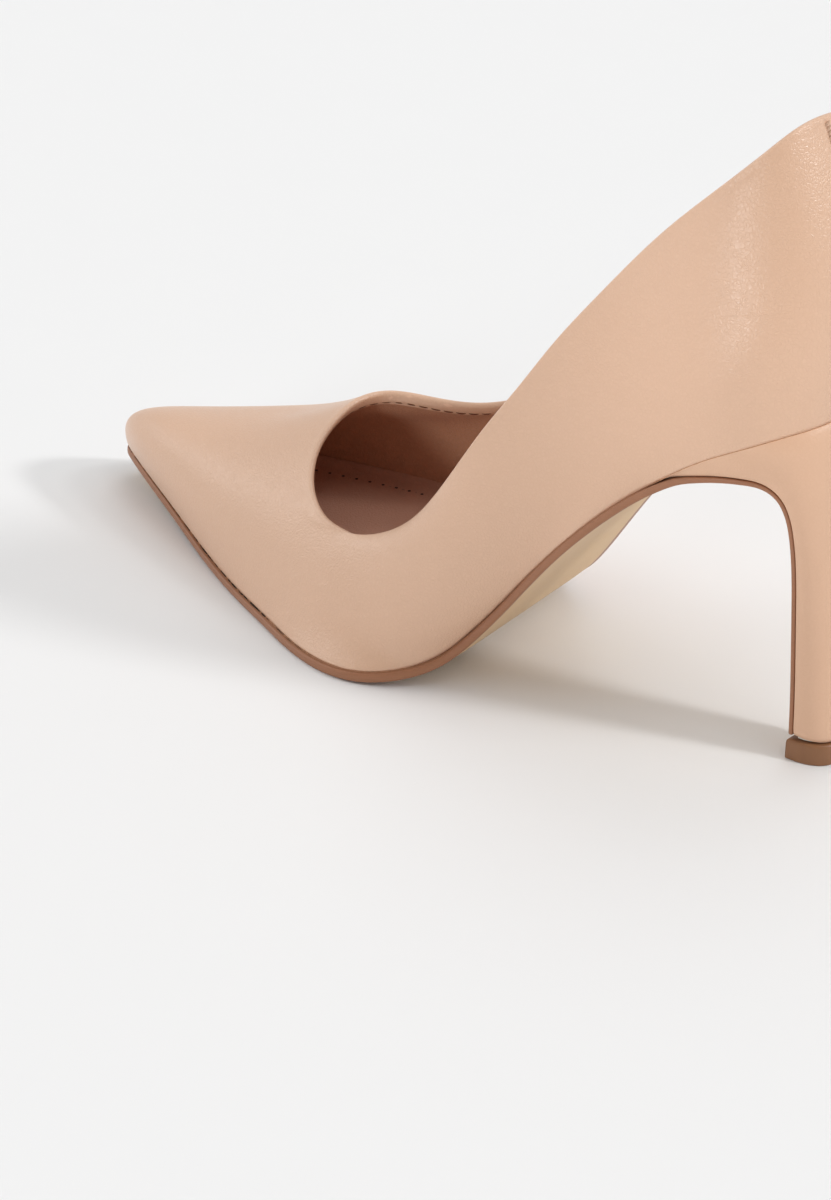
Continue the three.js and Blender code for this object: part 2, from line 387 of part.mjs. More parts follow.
// one heel contour: from the outer front corner round the back to the inner front corner
function heelRing(i, inset, front, drop, cols) {
  const c = flapPoint(i, FLAP_T + front), back = HEEL_BACK[i], n = i < 3 ? 2.6 : Math.max(2.15, 2.6 - (i - 2) * 0.05);
  const ring = [];
  for (const q of range(-1, 1, cols)) {
    const th = Math.abs(q) * Math.PI / 2, a = Math.cos(th) ** (2 / n), s = Math.sin(th) ** (2 / n);
    const e = i < 8 ? 0.8 + 0.025 * i : 1;
    const xb = back[0] + inset, y = (c[2] - inset) * s;
    let p = [c[0] + (xb - c[0]) * a, -Math.sign(q) * y, c[1] + (back[1] - c[1]) * a ** e];
    ring.push(p);
  }
  // the top contour lies on the feather line
  const blend = Math.max(0, 1 - i / 4);
  if (blend > 0) ring.forEach((p, j) => {
    const q = -1 + 2 * j / cols, t = -q * 5.15, k = 20 - Math.abs(t), tt = (t + 40) % 40;
    const g = feather(tt, inset, -drop);
    const g0 = heelRing0(q, inset, front);
    for (let c2 = 0; c2 < 3; c2++) p[c2] += blend * (g[c2] - g0[c2]);
  });
  return ring;
}
function heelRing0(q, inset, front) {
  const c = flapPoint(0, FLAP_T + front), back = HEEL_BACK[0], n = 2.6;
  const th = Math.abs(q) * Math.PI / 2, a = Math.cos(th) ** (2 / n), s = Math.sin(th) ** (2 / n);
  return [c[0] + (back[0] + inset - c[0]) * a, -Math.sign(q) * (c[2] - inset) * s, c[1] + (back[1] - c[1]) * a ** 0.8];
}
{
  const cols = 14, A = [], B = [];
  for (let i = 0; i < FLAP.length; i++) { A.push(heelRing(i, 0, GAP, 0.3, cols)); B.push(heelRing(i, COVER_T, GAP, 0.3, cols)); }
  piece('heel_cover', shell(A, B), NUDE, 0.5);
}
{
  const inset = COVER_T + GAP + 0.05, cols = 14, rings = [];
  for (let i = 0; i < FLAP.length; i++) {
    const ring = heelRing(i, inset, GAP, 0.35, cols);
    if (i === FLAP.length - 1) ring.forEach((p) => { p[2] = TIP_H + GAP; });
    rings.push(ring);
  }
  const block = stack(rings);
  const stem = [TUBE_X, 0], seatN = bottomNormal(18);
  const fix = [['heel_screw', -202.3, 0, SCREW_R, 13], ['heel_nail_1', -197, 8.5, NAIL_R, 7], ['heel_nail_2', -197, -8.5, NAIL_R, 7],
    ['heel_nail_3', -202.5, 5, NAIL_R, 10], ['heel_nail_4', -202.5, -5, NAIL_R, 10]];
  const down = seatN.map((v) => -v), headTop = BOARD_Z + BOARD_T;
  const boardCuts = [], blockCuts = [];
  for (const [name, x, y, r, l] of fix) {
    const top = add([x, y, ground(x, y).z], seatN, headTop - 0.15);
    piece(name, rod(top, down, r, l, 8), STEEL, 0.35, 1);
    const cut = rod(add(top, down, -3), down, r + GAP + 0.1, l + 3 + 0.5, 8);
    boardCuts.push(cut); blockCuts.push(cut);
  }
  blockCuts.push(rod([stem[0], 0, TIP_H - 1], [0, 0, 1], TUBE_R + GAP, 46, 12));
  piece('heel_block', minus(block, blockCuts), WHITE, 0.6);
  // hollow steel tube pressed into the stem
  const ring = (r, z) => Array.from({ length: 12 }, (_, i) => { const q = (i + 0.5) / 12 * 2 * Math.PI; return [stem[0] + r * Math.cos(q), r * Math.sin(q), z]; });
  const zA = TIP_H + GAP + 0.2, zB = TIP_H + 44;
  piece('heel_tube', shell([ring(TUBE_R, zA), ring(TUBE_R, zB)].reduce((_, __, i, a) => a[0].map((p, j) => [a[0][j], a[1][j]]), 0),
    [ring(TUBE_BORE, zA), ring(TUBE_BORE, zB)].reduce((_, __, i, a) => a[0].map((p, j) => [a[0][j], a[1][j]]), 0), true), STEEL, 0.35, 1);
  piece('top_piece_pin', rod([stem[0], 0, TIP_H + GAP], [0, 0, 1], PIN_R, 11, 8), STEEL, 0.35, 1);
  // insole board over the seat and forepart, drilled for the heel fixings
  piece('insole_board', minus(plate(1.7, 19, [0, 0.5, 1], (t) => clearInset(t, BOARD_Z, BOARD_Z + BOARD_T) + 0.15, BOARD_Z, BOARD_Z + BOARD_T), boardCuts), BOARD, 0.9);
}
// top piece: D-shaped, a little larger than the stem above it
{
  const rings = [[0.35, 0], [0, 0.5], [0, TIP_H - 0.5], [0.3, TIP_H]].map(([inset, z]) => range(-1, 1, 16).map((q) => {
    const th = Math.abs(q) * Math.PI / 2, n = 2.15, a = Math.cos(th) ** (2 / n), s = Math.sin(th) ** (2 / n);
    return [-202.9 - inset + (-9.9 + 2 * inset) * a, -Math.sign(q) * (6.6 - inset) * s, z];
  }));
  piece('top_piece', stack(rings), 0x83593b, 0.4);
}

export default group;
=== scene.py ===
"""High-heel pump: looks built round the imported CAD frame. Metres; +X to the toe, +Y to the shoe's left (outer) side, +Z up."""
import math

import bpy
import numpy as np
from mathutils import Matrix, Vector


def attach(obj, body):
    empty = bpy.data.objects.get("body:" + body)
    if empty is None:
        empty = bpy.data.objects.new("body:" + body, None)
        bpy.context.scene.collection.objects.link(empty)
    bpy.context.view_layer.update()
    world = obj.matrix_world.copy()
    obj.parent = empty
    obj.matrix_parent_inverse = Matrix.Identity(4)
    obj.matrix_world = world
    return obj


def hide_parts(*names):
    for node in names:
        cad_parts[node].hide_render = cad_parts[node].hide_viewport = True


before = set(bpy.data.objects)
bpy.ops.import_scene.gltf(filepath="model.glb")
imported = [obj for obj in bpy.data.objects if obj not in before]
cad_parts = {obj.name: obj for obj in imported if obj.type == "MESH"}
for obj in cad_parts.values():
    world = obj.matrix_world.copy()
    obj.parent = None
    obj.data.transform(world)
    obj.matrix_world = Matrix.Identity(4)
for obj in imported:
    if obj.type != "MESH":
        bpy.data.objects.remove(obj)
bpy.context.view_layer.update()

# ---- shape, in millimetres measured from the toe tip -----------------------------
ORIGIN = np.array([106.455, -6.8085, 0.0])
NET = np.array([
  [-211.3, -0, 83.1, -212.6, -0, 88.4, -213.8, -0, 98.9, -212, 0, 114.1, -207, 0, 129.1, -202.6, 0, 139.4, -199.7, 0.2, 145.3],
  [-209.8, 9.3, 82, -210.9, 9.8, 87.6, -211.7, 10.5, 98.2, -209.7, 10.5, 113.5, -205, 9.5, 128.6, -201.1, 8.6, 138.9, -199.2, 8.1, 144.6],
  [-205.7, 16.4, 80.9, -206.1, 17.4, 86, -205.9, 18.6, 96.2, -203.6, 18.5, 110.9, -199.5, 16.7, 125.4, -196.4, 15, 135.2, -195.5, 14.2, 139.9],
  [-199.3, 21.3, 77.9, -198.7, 22.3, 82.6, -197.3, 23.6, 91.8, -194.3, 23.2, 105.2, -190.5, 20.9, 118.4, -188, 18.8, 127.3, -187.2, 17.7, 131.4],
  [-190.1, 23.1, 73.1, -189.1, 24, 77.2, -186.9, 25, 85.3, -183.5, 24.3, 97.2, -180, 21.8, 108.9, -177.6, 19.7, 116.8, -176.1, 18.7, 120.8],
  [-181.3, 22.4, 66.7, -180, 23.9, 70.3, -177.7, 24.6, 77.7, -174.3, 23.8, 88.5, -170.9, 21.7, 99.3, -168.4, 19.8, 106.6, -166.8, 18.5, 110.6],
  [-170.5, 23.9, 58.1, -169.3, 25.1, 61.5, -167.4, 25.6, 68.4, -164.6, 25.1, 78.6, -161.5, 23.2, 88.8, -159.3, 21.4, 95.8, -158.1, 20.1, 99.5],
  [-160.4, 28.1, 47.8, -159.6, 26.6, 50.9, -158.1, 27.2, 57.6, -155.7, 27.2, 67.5, -153.1, 25.9, 77.4, -151.1, 24.4, 84.3, -149.8, 23.4, 88.2],
  [-149.7, 27.3, 35.6, -150, 28, 38.8, -149.2, 29.4, 45.6, -147.5, 30, 55.6, -145.4, 29, 65.7, -143.9, 27.9, 72.7, -143.2, 27, 76.2],
  [-140.1, 27.2, 23, -140.8, 30.1, 26.6, -140.4, 32.4, 33.8, -139.3, 33, 44.3, -137.9, 32, 54.7, -137, 30.8, 61.9, -136.7, 30.5, 66.2],
  [-131.5, 28.9, 12.3, -131.7, 33.3, 16.1, -131.2, 35.5, 23.4, -130.5, 35.4, 33.7, -129.7, 33.8, 43.9, -129.5, 32.2, 50.8, -129.8, 31.2, 55],
  [-125, 33.8, 4.6, -121.4, 37.7, 9.1, -120.2, 38.2, 15.8, -119.8, 36.8, 24.9, -119.7, 34.3, 33.5, -120.1, 32, 39.2, -121.4, 30.6, 42.2],
  [-113.2, 46.1, 2.4, -109.1, 41.3, 6.3, -107.8, 39.4, 12.2, -107.8, 37.1, 19.6, -108.6, 34.1, 26.4, -109.9, 31.5, 30.7, -111.8, 28.4, 32.4],
  [-95, 44.3, 1.9, -94.6, 41, 6.2, -93.8, 38.6, 11.8, -94.3, 36.3, 18.3, -96.1, 33.6, 23.9, -98.6, 31.6, 27, -100.5, 29.8, 26.9],
  [-80.2, 38.1, 2.1, -78.9, 36.9, 6.9, -78.7, 35.2, 12.7, -80.4, 33.2, 18.8, -83.6, 31.1, 23.8, -87.6, 30, 26.6, -92.7, 32.3, 28.2],
  [-64.1, 32.2, 1.9, -62.3, 31.5, 8.1, -63, 30.7, 14.3, -66.4, 29.4, 20.1, -71.8, 27.6, 24.8, -77.6, 26.4, 27.9, -82.8, 25.8, 29.3],
  [-46.1, 24, 2.4, -45.2, 25.5, 9.8, -47.3, 26, 16.3, -53, 25.1, 21.8, -61.1, 23.4, 26.2, -69.3, 21.5, 29.9, -76.1, 19.5, 33.3],
  [-28.8, 15.4, 3.6, -28.4, 19.7, 12, -32.4, 21.3, 18.7, -41.1, 20.5, 23.6, -52.3, 18.5, 27.6, -63.3, 16, 31.8, -73.5, 13, 36.7],
  [-13.4, 8.9, 5.6, -13.6, 14.6, 14.7, -19.7, 16.5, 21.3, -31.7, 15.5, 25.1, -45.9, 13.3, 28.6, -59.6, 10.4, 33.1, -72.4, 6.7, 39.3],
  [-2.4, 4.5, 7.6, -3.2, 9.9, 16.8, -11.2, 11.2, 23.3, -26, 10.1, 25.9, -42.4, 7.8, 29.1, -58, 5, 33.5, -71.9, 1.4, 41.2],
  [1.4, 2.4, 8, -0.4, 4.4, 17.1, -9.3, 5, 23.1, -25, 4.1, 25.7, -42, 2.1, 29.6, -58.4, -0.1, 33.5, -72.3, -3.4, 41.8],
  [-1.7, -4, 7.4, -5.6, -2.1, 15.3, -14.5, -1.7, 20.9, -28.6, -2.4, 25.6, -44.7, -3.7, 30.2, -60.4, -5.2, 34.5, -73.7, -7.8, 41.9],
  [-11.2, -9.1, 5.4, -16.4, -8.8, 13, -24.3, -8.5, 19.2, -36.2, -8.7, 25, -50.5, -9.1, 30.1, -64.6, -9.8, 35.6, -77.6, -10.8, 42.1],
  [-27.3, -14.9, 3.4, -30.8, -15.2, 11.1, -36.8, -15, 18.3, -46.2, -14.9, 25.4, -58.4, -14.5, 31, -71.3, -13.6, 35.9, -83.7, -12.7, 42],
  [-45.9, -21.7, 2.5, -47.1, -21.3, 10, -51.1, -20.8, 17.7, -58.3, -20.2, 25.6, -68.2, -19.1, 31.9, -79.4, -17.3, 36.7, -90.7, -15.3, 41.5],
  [-64, -27.8, 2.1, -63.8, -26.3, 9.3, -66.2, -25.4, 17.3, -71.6, -24.5, 25.8, -79.4, -23, 33.1, -88.3, -21, 38.2, -97.5, -19, 41.7],
  [-80.2, -31.3, 2.3, -80.1, -29.6, 8.7, -81.7, -28.8, 17, -85.5, -27.9, 26.4, -91.1, -26.3, 34.9, -97.6, -24.6, 40.7, -104.3, -23.1, 44.1],
  [-95.2, -31.4, 2, -95.5, -30.6, 8.4, -96.8, -30.6, 17, -99.4, -30.2, 27.7, -103, -29, 37.6, -107, -27.7, 44.4, -110.9, -26.9, 48.5],
  [-109.3, -27.3, 3, -109.9, -28.4, 9.1, -111.3, -29.9, 18.3, -113.2, -30.7, 30.2, -115, -30.5, 41.7, -116.6, -30, 49.9, -118.1, -29.8, 54.8],
  [-121.3, -21.3, 6.6, -121.9, -24, 12.6, -123, -27.1, 22.3, -124.1, -29.6, 35.7, -124.7, -30.5, 48.7, -125.1, -30.8, 57.7, -125.7, -30.8, 62.6],
  [-131, -17.1, 16, -131.6, -20.4, 21.3, -132.3, -24.6, 30.7, -132.8, -28.1, 44.2, -132.8, -29.9, 57.4, -132.6, -30.6, 66.6, -132.2, -31, 71.7],
  [-141, -15.2, 30.1, -141.2, -18.3, 34.2, -141.3, -22.6, 42.6, -141, -26.5, 54.9, -140.5, -28.6, 67.2, -139.9, -29.5, 75.7, -139.5, -29.8, 80.3],
  [-151, -14.8, 44.2, -150.8, -17.5, 47.4, -150.2, -21.5, 54.7, -149.2, -25.1, 65.7, -148.1, -27.1, 76.7, -147.2, -28, 84.3, -146.4, -28.4, 88.7],
  [-161, -15.5, 55.4, -160.4, -17.9, 58.3, -159.2, -21.2, 65.1, -157.6, -24.1, 75.3, -156.1, -25.6, 85.5, -154.9, -26.1, 92.6, -153.9, -26.4, 96.6],
  [-171, -17.9, 62.2, -170.1, -19.7, 65.9, -168.3, -22, 72.9, -166, -23.8, 83.2, -164, -24.3, 93.5, -162.6, -24.1, 100.5, -162, -23.8, 103.8],
  [-181.1, -21.6, 68.9, -179.9, -22.6, 72.5, -177.8, -23.9, 80, -175, -24.3, 91, -172.5, -23.4, 101.9, -170.9, -22.2, 109.2, -170, -21.4, 112.8],
  [-190.1, -22.5, 73.1, -189.2, -23.4, 77.6, -187.2, -24.5, 85.9, -184.2, -24.3, 98, -181.2, -22.4, 109.9, -179.1, -20.6, 117.9, -177.9, -19.5, 121.9],
  [-199.4, -20.9, 77.9, -198.8, -21.9, 82.5, -197.5, -23.2, 91.8, -194.7, -22.9, 105.2, -191.2, -20.6, 118.5, -188.6, -18.6, 127.5, -187.2, -17.6, 132.3],
  [-205.7, -15.9, 80.8, -206.1, -16.9, 86, -206, -18.2, 96.2, -203.8, -18.2, 110.9, -199.8, -16.4, 125.5, -196.5, -14.8, 135.4, -195.1, -14.2, 140.7],
  [-209.8, -9.1, 82.3, -210.9, -9.6, 87.8, -211.7, -10.3, 98.3, -209.7, -10.3, 113.6, -205.1, -9.3, 128.7, -201.1, -8.4, 139, -199.3, -8, 143.9]
]).reshape(40, 7, 3)
FLAP = np.array([
    [-180.2, 62.9, 22.4], [-182.6, 64.7, 22.1], [-187.9, 66.6, 21.2], [-192.5, 67.7, 20.1], [-196.5, 68.2, 18.8],
    [-199.8, 68.1, 17.4], [-202.2, 67.2, 16.3], [-204.0, 65.4, 15.3], [-205.2, 62.6, 14.4], [-205.7, 58.5, 13.3],
    [-205.4, 52, 11.5], [-204.9, 45, 10], [-204.5, 38, 9], [-204.1, 30, 8], [-203.9, 22, 7.3], [-203.7, 14, 6.7],
    [-203.5, 6.2, 6.3]])
HEEL_BACK = np.array([
    [-210.8, 82.4], [-211.3, 81.4], [-211.9, 79.6], [-212.3, 77.8], [-212.6, 75.8],
    [-212.8, 73.6], [-213.0, 71.2], [-213.1, 68.4], [-213.15, 65.0], [-213.15, 60.0],
    [-213.1, 52.6], [-212.9, 45.2], [-212.8, 38], [-212.6, 30], [-212.5, 22], [-212.4, 14], [-212.3, 5.2]])
WALL = 3.1
SEAT_K = 14.7
rng = np.random.default_rng(7)


def bt(t):
    t = np.asarray(t, float) % 40
    i = np.floor(t).astype(int)
    u = t - i
    w = np.stack([(1 - u) ** 3 / 6, (3 * u**3 - 6 * u * u + 4) / 6, (-3 * u**3 + 3 * u * u + 3 * u + 1) / 6, u**3 / 6], -1)
    B = np.zeros(t.shape + (40,))
    for k in range(4):
        np.put_along_axis(B, ((i + k - 1) % 40)[..., None], w[..., k : k + 1], -1)
    return B


KN = np.array([0, 0, 0, 0, 0.25, 0.5, 0.75, 1, 1, 1, 1])


def bh(h):
    h = np.clip(np.asarray(h, float), 0, 1 - 1e-9)
    B = np.zeros(h.shape + (11,))
    for i in range(10):
        B[..., i] = (h >= KN[i]) & (h < KN[i + 1])
    for q in range(1, 4):
        for i in range(10 - q):
            a = (h - KN[i]) / (KN[i + q] - KN[i]) * B[..., i] if KN[i + q] > KN[i] else 0
            b = (KN[i + q + 1] - h) / (KN[i + q + 1] - KN[i + 1]) * B[..., i + 1] if KN[i + q + 1] > KN[i + 1] else 0
            B[..., i] = a + b
    return B[..., :7]


def unit(v):
    return v / np.maximum(np.linalg.norm(v, axis=-1, keepdims=True), 1e-12)


def S(t, h):
    """Outer surface. t has n entries; h is (n,) or (n, m)."""
    ct = np.einsum("na,abk->nbk", bt(t), NET)
    h = np.asarray(h, float)
    if h.ndim == 1:
        return np.einsum("nb,nbk->nk", bh(h), ct)
    return np.einsum("nmb,nbk->nmk", bh(h), ct)


def frame_at(t, h):
    h0 = np.clip(h, 0.012, 0.988)
    up = unit(S(t, h0 + 0.012) - S(t, h0 - 0.012))
    along = unit(S(t + 0.12, h0) - S(t - 0.12, h0))
    return unit(np.cross(up, along)), up, along


def arcs(t):
    """Rib length, and a function from arc length above the feather line to h."""
    hs = np.linspace(0, 1, 81)
    P = S(t, np.tile(hs, (len(t), 1)))
    c = np.concatenate([np.zeros((len(t), 1)), np.cumsum(np.linalg.norm(np.diff(P, axis=1), axis=2), axis=1)], 1)
    L = c[:, -1]

    def to_h(a):
        a = np.asarray(a, float)
        if a.ndim == 1:
            return np.array([np.interp(a[i], c[i], hs) for i in range(len(t))])
        return np.stack([np.interp(a[i], c[i], hs) for i in range(len(t))])

    return L, to_h


LK = np.arange(0.1, 19.95, 0.05)
LA, LB = S(20 - LK, np.zeros(len(LK))), S(20 + LK, np.zeros(len(LK)))


def bottom_normal(k):
    k = np.clip(np.asarray(k, float), 0.6, 19.4)
    z = np.zeros(k.shape)
    c = lambda q: (S(20 - q, z) + S(20 + q, z)) / 2
    T = unit(c(k - 0.5) - c(k + 0.5))
    w = S(20 - k, z) - S(20 + k, z)
    f = np.minimum(1, np.linalg.norm(w, axis=1) / 25)[:, None]
    w = unit(np.array([0, 1.0, 0]) * (1 - f) + unit(w) * f)
    n = unit(np.cross(T, w))
    return n * np.sign(n[:, 2:3])


def ground(x, y):
    """Height and normal of the ruled bottom over plan points."""
    x, y = np.asarray(x, float), np.asarray(y, float)
    s = np.clip((LA[None, :, 1] - y[:, None]) / (LA[None, :, 1] - LB[None, :, 1]), -0.2, 1.2)
    X = LA[None, :, 0] + (LB - LA)[None, :, 0] * s
    Z = LA[None, :, 2] + (LB - LA)[None, :, 2] * s
    hi = np.clip((X > x[:, None]).sum(1), 1, len(LK) - 1)
    lo = hi - 1
    r = np.arange(len(x))
    f = (X[r, lo] - x) / np.where(np.abs(X[r, lo] - X[r, hi]) < 1e-9, 1, X[r, lo] - X[r, hi])
    return Z[r, lo] + (Z[r, hi] - Z[r, lo]) * f, bottom_normal(LK[lo] + 0.05 * f)


def inward(t):
    z = np.zeros(len(t))
    d = S(t + 0.15, z) - S(t - 0.15, z)
    return unit(np.stack([d[:, 1], -d[:, 0], 0 * z], 1))


def lift(p, off):
    z, n = ground(p[:, 0], p[:, 1])
    q = np.stack([p[:, 0], p[:, 1], z], 1)
    return q + n * (off[:, None] if np.ndim(off) else off)


def feather(t, inset, off):
    i = np.asarray(inset, float)
    return lift(S(t, np.zeros(len(t))) + inward(t) * (i[:, None] if i.ndim else i), off)


def clear_inset(t, lo, hi):
    f, nin = S(t, np.zeros(len(t))), inward(t)
    best = np.full(len(t), WALL + 0.3)
    for h in np.arange(0, 0.45, 0.015):
        hh = np.full(len(t), h)
        p = S(t, hh) - frame_at(t, hh)[0] * (WALL + 0.15)
        z, n = ground(p[:, 0], p[:, 1])
        up = (p[:, 2] - z) * n[:, 2]
        m = (up > lo - 0.5) & (up < hi + 0.5)
        best = np.where(m, np.maximum(best, ((p - f) * nin).sum(1)), best)
    k = np.ones(7) / 7
    pad = np.concatenate([best[-3:], best, best[:3]]) if len(t) > 40 else np.pad(best, 3, mode="edge")
    return np.maximum(best, np.convolve(pad, k, "valid"))


# ---- mesh helpers ----------------------------------------------------------------
def mesh(name, V, F, mats, face_mat=None, smooth=True, nodes=()):
    me = bpy.data.meshes.new(name)
    V = (np.asarray(V, float).reshape(-1, 3) + ORIGIN) / 1000.0
    me.from_pydata(V.tolist(), [], [list(map(int, f)) for f in F])
    me.validate()
    for m in mats:
        me.materials.append(m)
    if face_mat is not None:
        me.polygons.foreach_set("material_index", np.asarray(face_mat, np.int32))
    me.polygons.foreach_set("use_smooth", [smooth] * len(me.polygons))
    # outward faces
    import bmesh
    bm = bmesh.new()
    bm.from_mesh(me)
    bmesh.ops.recalc_face_normals(bm, faces=bm.faces)
    bm.to_mesh(me)
    bm.free()
    me.update()
    ob = bpy.data.objects.new(name, me)
    bpy.context.scene.collection.objects.link(ob)
    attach(ob, "root")
    if nodes:
        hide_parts(*nodes)
    return ob


def loft(G, wrap_i=False, wrap_j=True, caps=False):
    """Faces of a grid of points G[i, j]; j runs round a closed section when wrap_j."""
    n, m = G.shape[:2]
    I = np.arange(n if wrap_i else n - 1)
    J = np.arange(m if wrap_j else m - 1)
    a, b = np.meshgrid(I, J, indexing="ij")
    a, b = a.ravel(), b.ravel()
    a2, b2 = (a + 1) % n, (b + 1) % m
    F = np.stack([a * m + b, a2 * m + b, a2 * m + b2, a * m + b2], 1).tolist()
    cols = b.tolist()
    if caps:
        F.append(list(range(m))[::-1])
        F.append(list(range((n - 1) * m, n * m)))
        cols += [-1, -1]
    return F, np.array(cols)


def beads(path_p, path_t, path_n, pitch, length, radius, start=0.0, closed=True, tilt=0.0, flat=0.75, seg=8, rings=7):
    """Separate capsule-shaped stitches laid end to end along a path."""
    P = path_p if not closed else np.vstack([path_p, path_p[:1]])
    d = np.concatenate([[0], np.cumsum(np.linalg.norm(np.diff(P, axis=0), axis=1))])
    total = d[-1]
    count = int(total // pitch)
    pitch = total / count if closed else pitch
    T_ = path_t if not closed else np.vstack([path_t, path_t[:1]])
    N_ = path_n if not closed else np.vstack([path_n, path_n[:1]])
    V, F = [], []
    for c in range(count):
        s = start + (c + 0.5) * pitch
        if s > total:
            break
        g = lambda A, x: np.array([np.interp(x, d, A[:, q]) for q in range(3)])
        tt, nn = unit(g(T_, s)), unit(g(N_, s))
        nn = unit(nn - tt * nn.dot(tt))
        bb = np.cross(nn, tt)
        base = len(V)
        jl = length * (1 + 0.05 * (rng.random() - 0.5))
        for r in range(rings):
            u = r / (rings - 1)
            x = -jl / 2 + jl * u
            rad = radius * math.sqrt(max(0.02, 1 - abs(2 * u - 1) ** 3.2))
            sink = -radius * 0.9 * abs(2 * u - 1) ** 2.5
            cpt = g(P, min(max(s + x, 0), total)) + nn * sink + bb * (tilt * x)
            for q in range(seg):
                an = 2 * math.pi * q / seg
                V.append(cpt + bb * rad * math.cos(an) + nn * rad * flat * math.sin(an))
        for r in range(rings - 1):
            for q in range(seg):
                F.append([base + r * seg + q, base + (r + 1) * seg + q, base + (r + 1) * seg + (q + 1) % seg, base + r * seg + (q + 1) % seg])
        F.append([base + q for q in range(seg)][::-1])
        F.append([base + (rings - 1) * seg + q for q in range(seg)])
    return np.array(V), F


# ---- materials -------------------------------------------------------------------
def srgb(r, g, b):
    f = lambda c: ((c / 255 + 0.055) / 1.055) ** 2.4 if c / 255 > 0.04045 else c / 255 / 12.92
    return (f(r), f(g), f(b), 1.0)


class Mat:
    def __init__(self, name, rough=0.5, metal=0.0, spec=0.5, coat=0.0, coat_rough=0.3, sheen=0.0, ior=1.5, sss=0.0):
        self.m = bpy.data.materials.new(name)
        self.m.use_nodes = True
        self.t = self.m.node_tree
        self.b = self.t.nodes["Principled BSDF"]
        self.b.inputs["Roughness"].default_value = rough
        self.b.inputs["Metallic"].default_value = metal
        self.b.inputs["Specular IOR Level"].default_value = spec
        self.b.inputs["IOR"].default_value = ior
        self.b.inputs["Coat Weight"].default_value = coat
        self.b.inputs["Coat Roughness"].default_value = coat_rough
        self.b.inputs["Sheen Weight"].default_value = sheen
        self.b.inputs["Sheen Roughness"].default_value = 0.4
        if sss:
            self.b.inputs["Subsurface Weight"].default_value = sss
            self.b.inputs["Subsurface Radius"].default_value = (0.0012, 0.0006, 0.0004)
            self.b.inputs["Subsurface Scale"].default_value = 0.5
        self.co = self.node("ShaderNodeTexCoord").outputs["Object"]

    def node(self, kind, **kw):
        n = self.t.nodes.new(kind)
        for k, v in kw.items():
            setattr(n, k, v)
        return n

    def link(self, a, b):
        self.t.links.new(a, b)

    def noise(self, scale, detail=3.0, rough=0.55, stretch=None, distort=0.0, seed=0.0):
        n = self.node("ShaderNodeTexNoise")
        n.inputs["Scale"].default_value = scale
        n.inputs["Detail"].default_value = detail
        n.inputs["Roughness"].default_value = rough
        n.inputs["Distortion"].default_value = distort
        if stretch or seed:
            mp = self.node("ShaderNodeMapping")
            mp.inputs["Scale"].default_value = stretch or (1, 1, 1)
            mp.inputs["Location"].default_value = (seed, seed * 0.7, seed * 0.3)
            self.link(self.co, mp.inputs["Vector"])
            self.link(mp.outputs["Vector"], n.inputs["Vector"])
        else:
            self.link(self.co, n.inputs["Vector"])
        return n.outputs["Fac"]

    def cells(self, scale, feature="DISTANCE_TO_EDGE", warp=None, random=1.0):
        n = self.node("ShaderNodeTexVoronoi", feature=feature)
        n.inputs["Scale"].default_value = scale
        n.inputs["Randomness"].default_value = random
        if warp:
            w = self.node("ShaderNodeTexNoise")
            w.inputs["Scale"].default_value = warp[0]
            w.inputs["Detail"].default_value = 2.0
            self.link(self.co, w.inputs["Vector"])
            mx = self.node("ShaderNodeMix", data_type="VECTOR")
            mx.inputs["Factor"].default_value = warp[1]
            self.link(self.co, mx.inputs[4])
            self.link(w.outputs["Color"], mx.inputs[5])
            self.link(mx.outputs[1], n.inputs["Vector"])
        else:
            self.link(self.co, n.inputs["Vector"])
        return n.outputs["Distance"]

    def ramp(self, fac, stops):
        r = self.node("ShaderNodeValToRGB")
        e = r.color_ramp.elements
        e[0].position, e[0].color = stops[0]
        e[1].position, e[1].color = stops[-1]
        for p, c in stops[1:-1]:
            x = e.new(p)
            x.color = c
        self.link(fac, r.inputs["Fac"])
        return r.outputs["Color"]

    def mix(self, fac, a, b, blend="MIX"):
        n = self.node("ShaderNodeMix", data_type="RGBA", blend_type=blend)
        n.clamp_factor = True
        for sock, v in ((n.inputs[0], fac), (n.inputs[6], a), (n.inputs[7], b)):
            if hasattr(v, "links"):
                self.link(v, sock)
            elif isinstance(v, (int, float)):
                sock.default_value = v
            else:
                sock.default_value = v
        return n.outputs[2]

    def maths(self, op, a, b=0.0, c=None, clamp=False):
        n = self.node("ShaderNodeMath", operation=op, use_clamp=clamp)
        for i, v in enumerate([a, b] + ([c] if c is not None else [])):
            if hasattr(v, "links"):
                self.link(v, n.inputs[i])
            else:
                n.inputs[i].default_value = v
        return n.outputs[0]

    def bump(self, heights):
        """heights: list of (output, distance in metres, strength)."""
        prev = None
        for out, dist, strength in heights:
            b = self.node("ShaderNodeBump")
            b.inputs["Distance"].default_value = dist
            b.inputs["Strength"].default_value = strength
            self.link(out, b.inputs["Height"])
            if prev is not None:
                self.link(prev, b.inputs["Normal"])
            prev = b.outputs["Normal"]
        self.link(prev, self.b.inputs["Normal"])

    def colour(self, out):
        self.link(out, self.b.inputs["Base Color"])

    def roughness(self, out, lo, hi):
        n = self.node("ShaderNodeMapRange")
        n.inputs["To Min"].default_value = lo
        n.inputs["To Max"].default_value = hi
        self.link(out, n.inputs["Value"])
        self.link(n.outputs["Result"], self.b.inputs["Roughness"])


def scaled(c, s, tint=(1, 1, 1)):
    return (min(1, c[0] * s * tint[0]), min(1, c[1] * s * tint[1]), min(1, c[2] * s * tint[2]), 1.0)


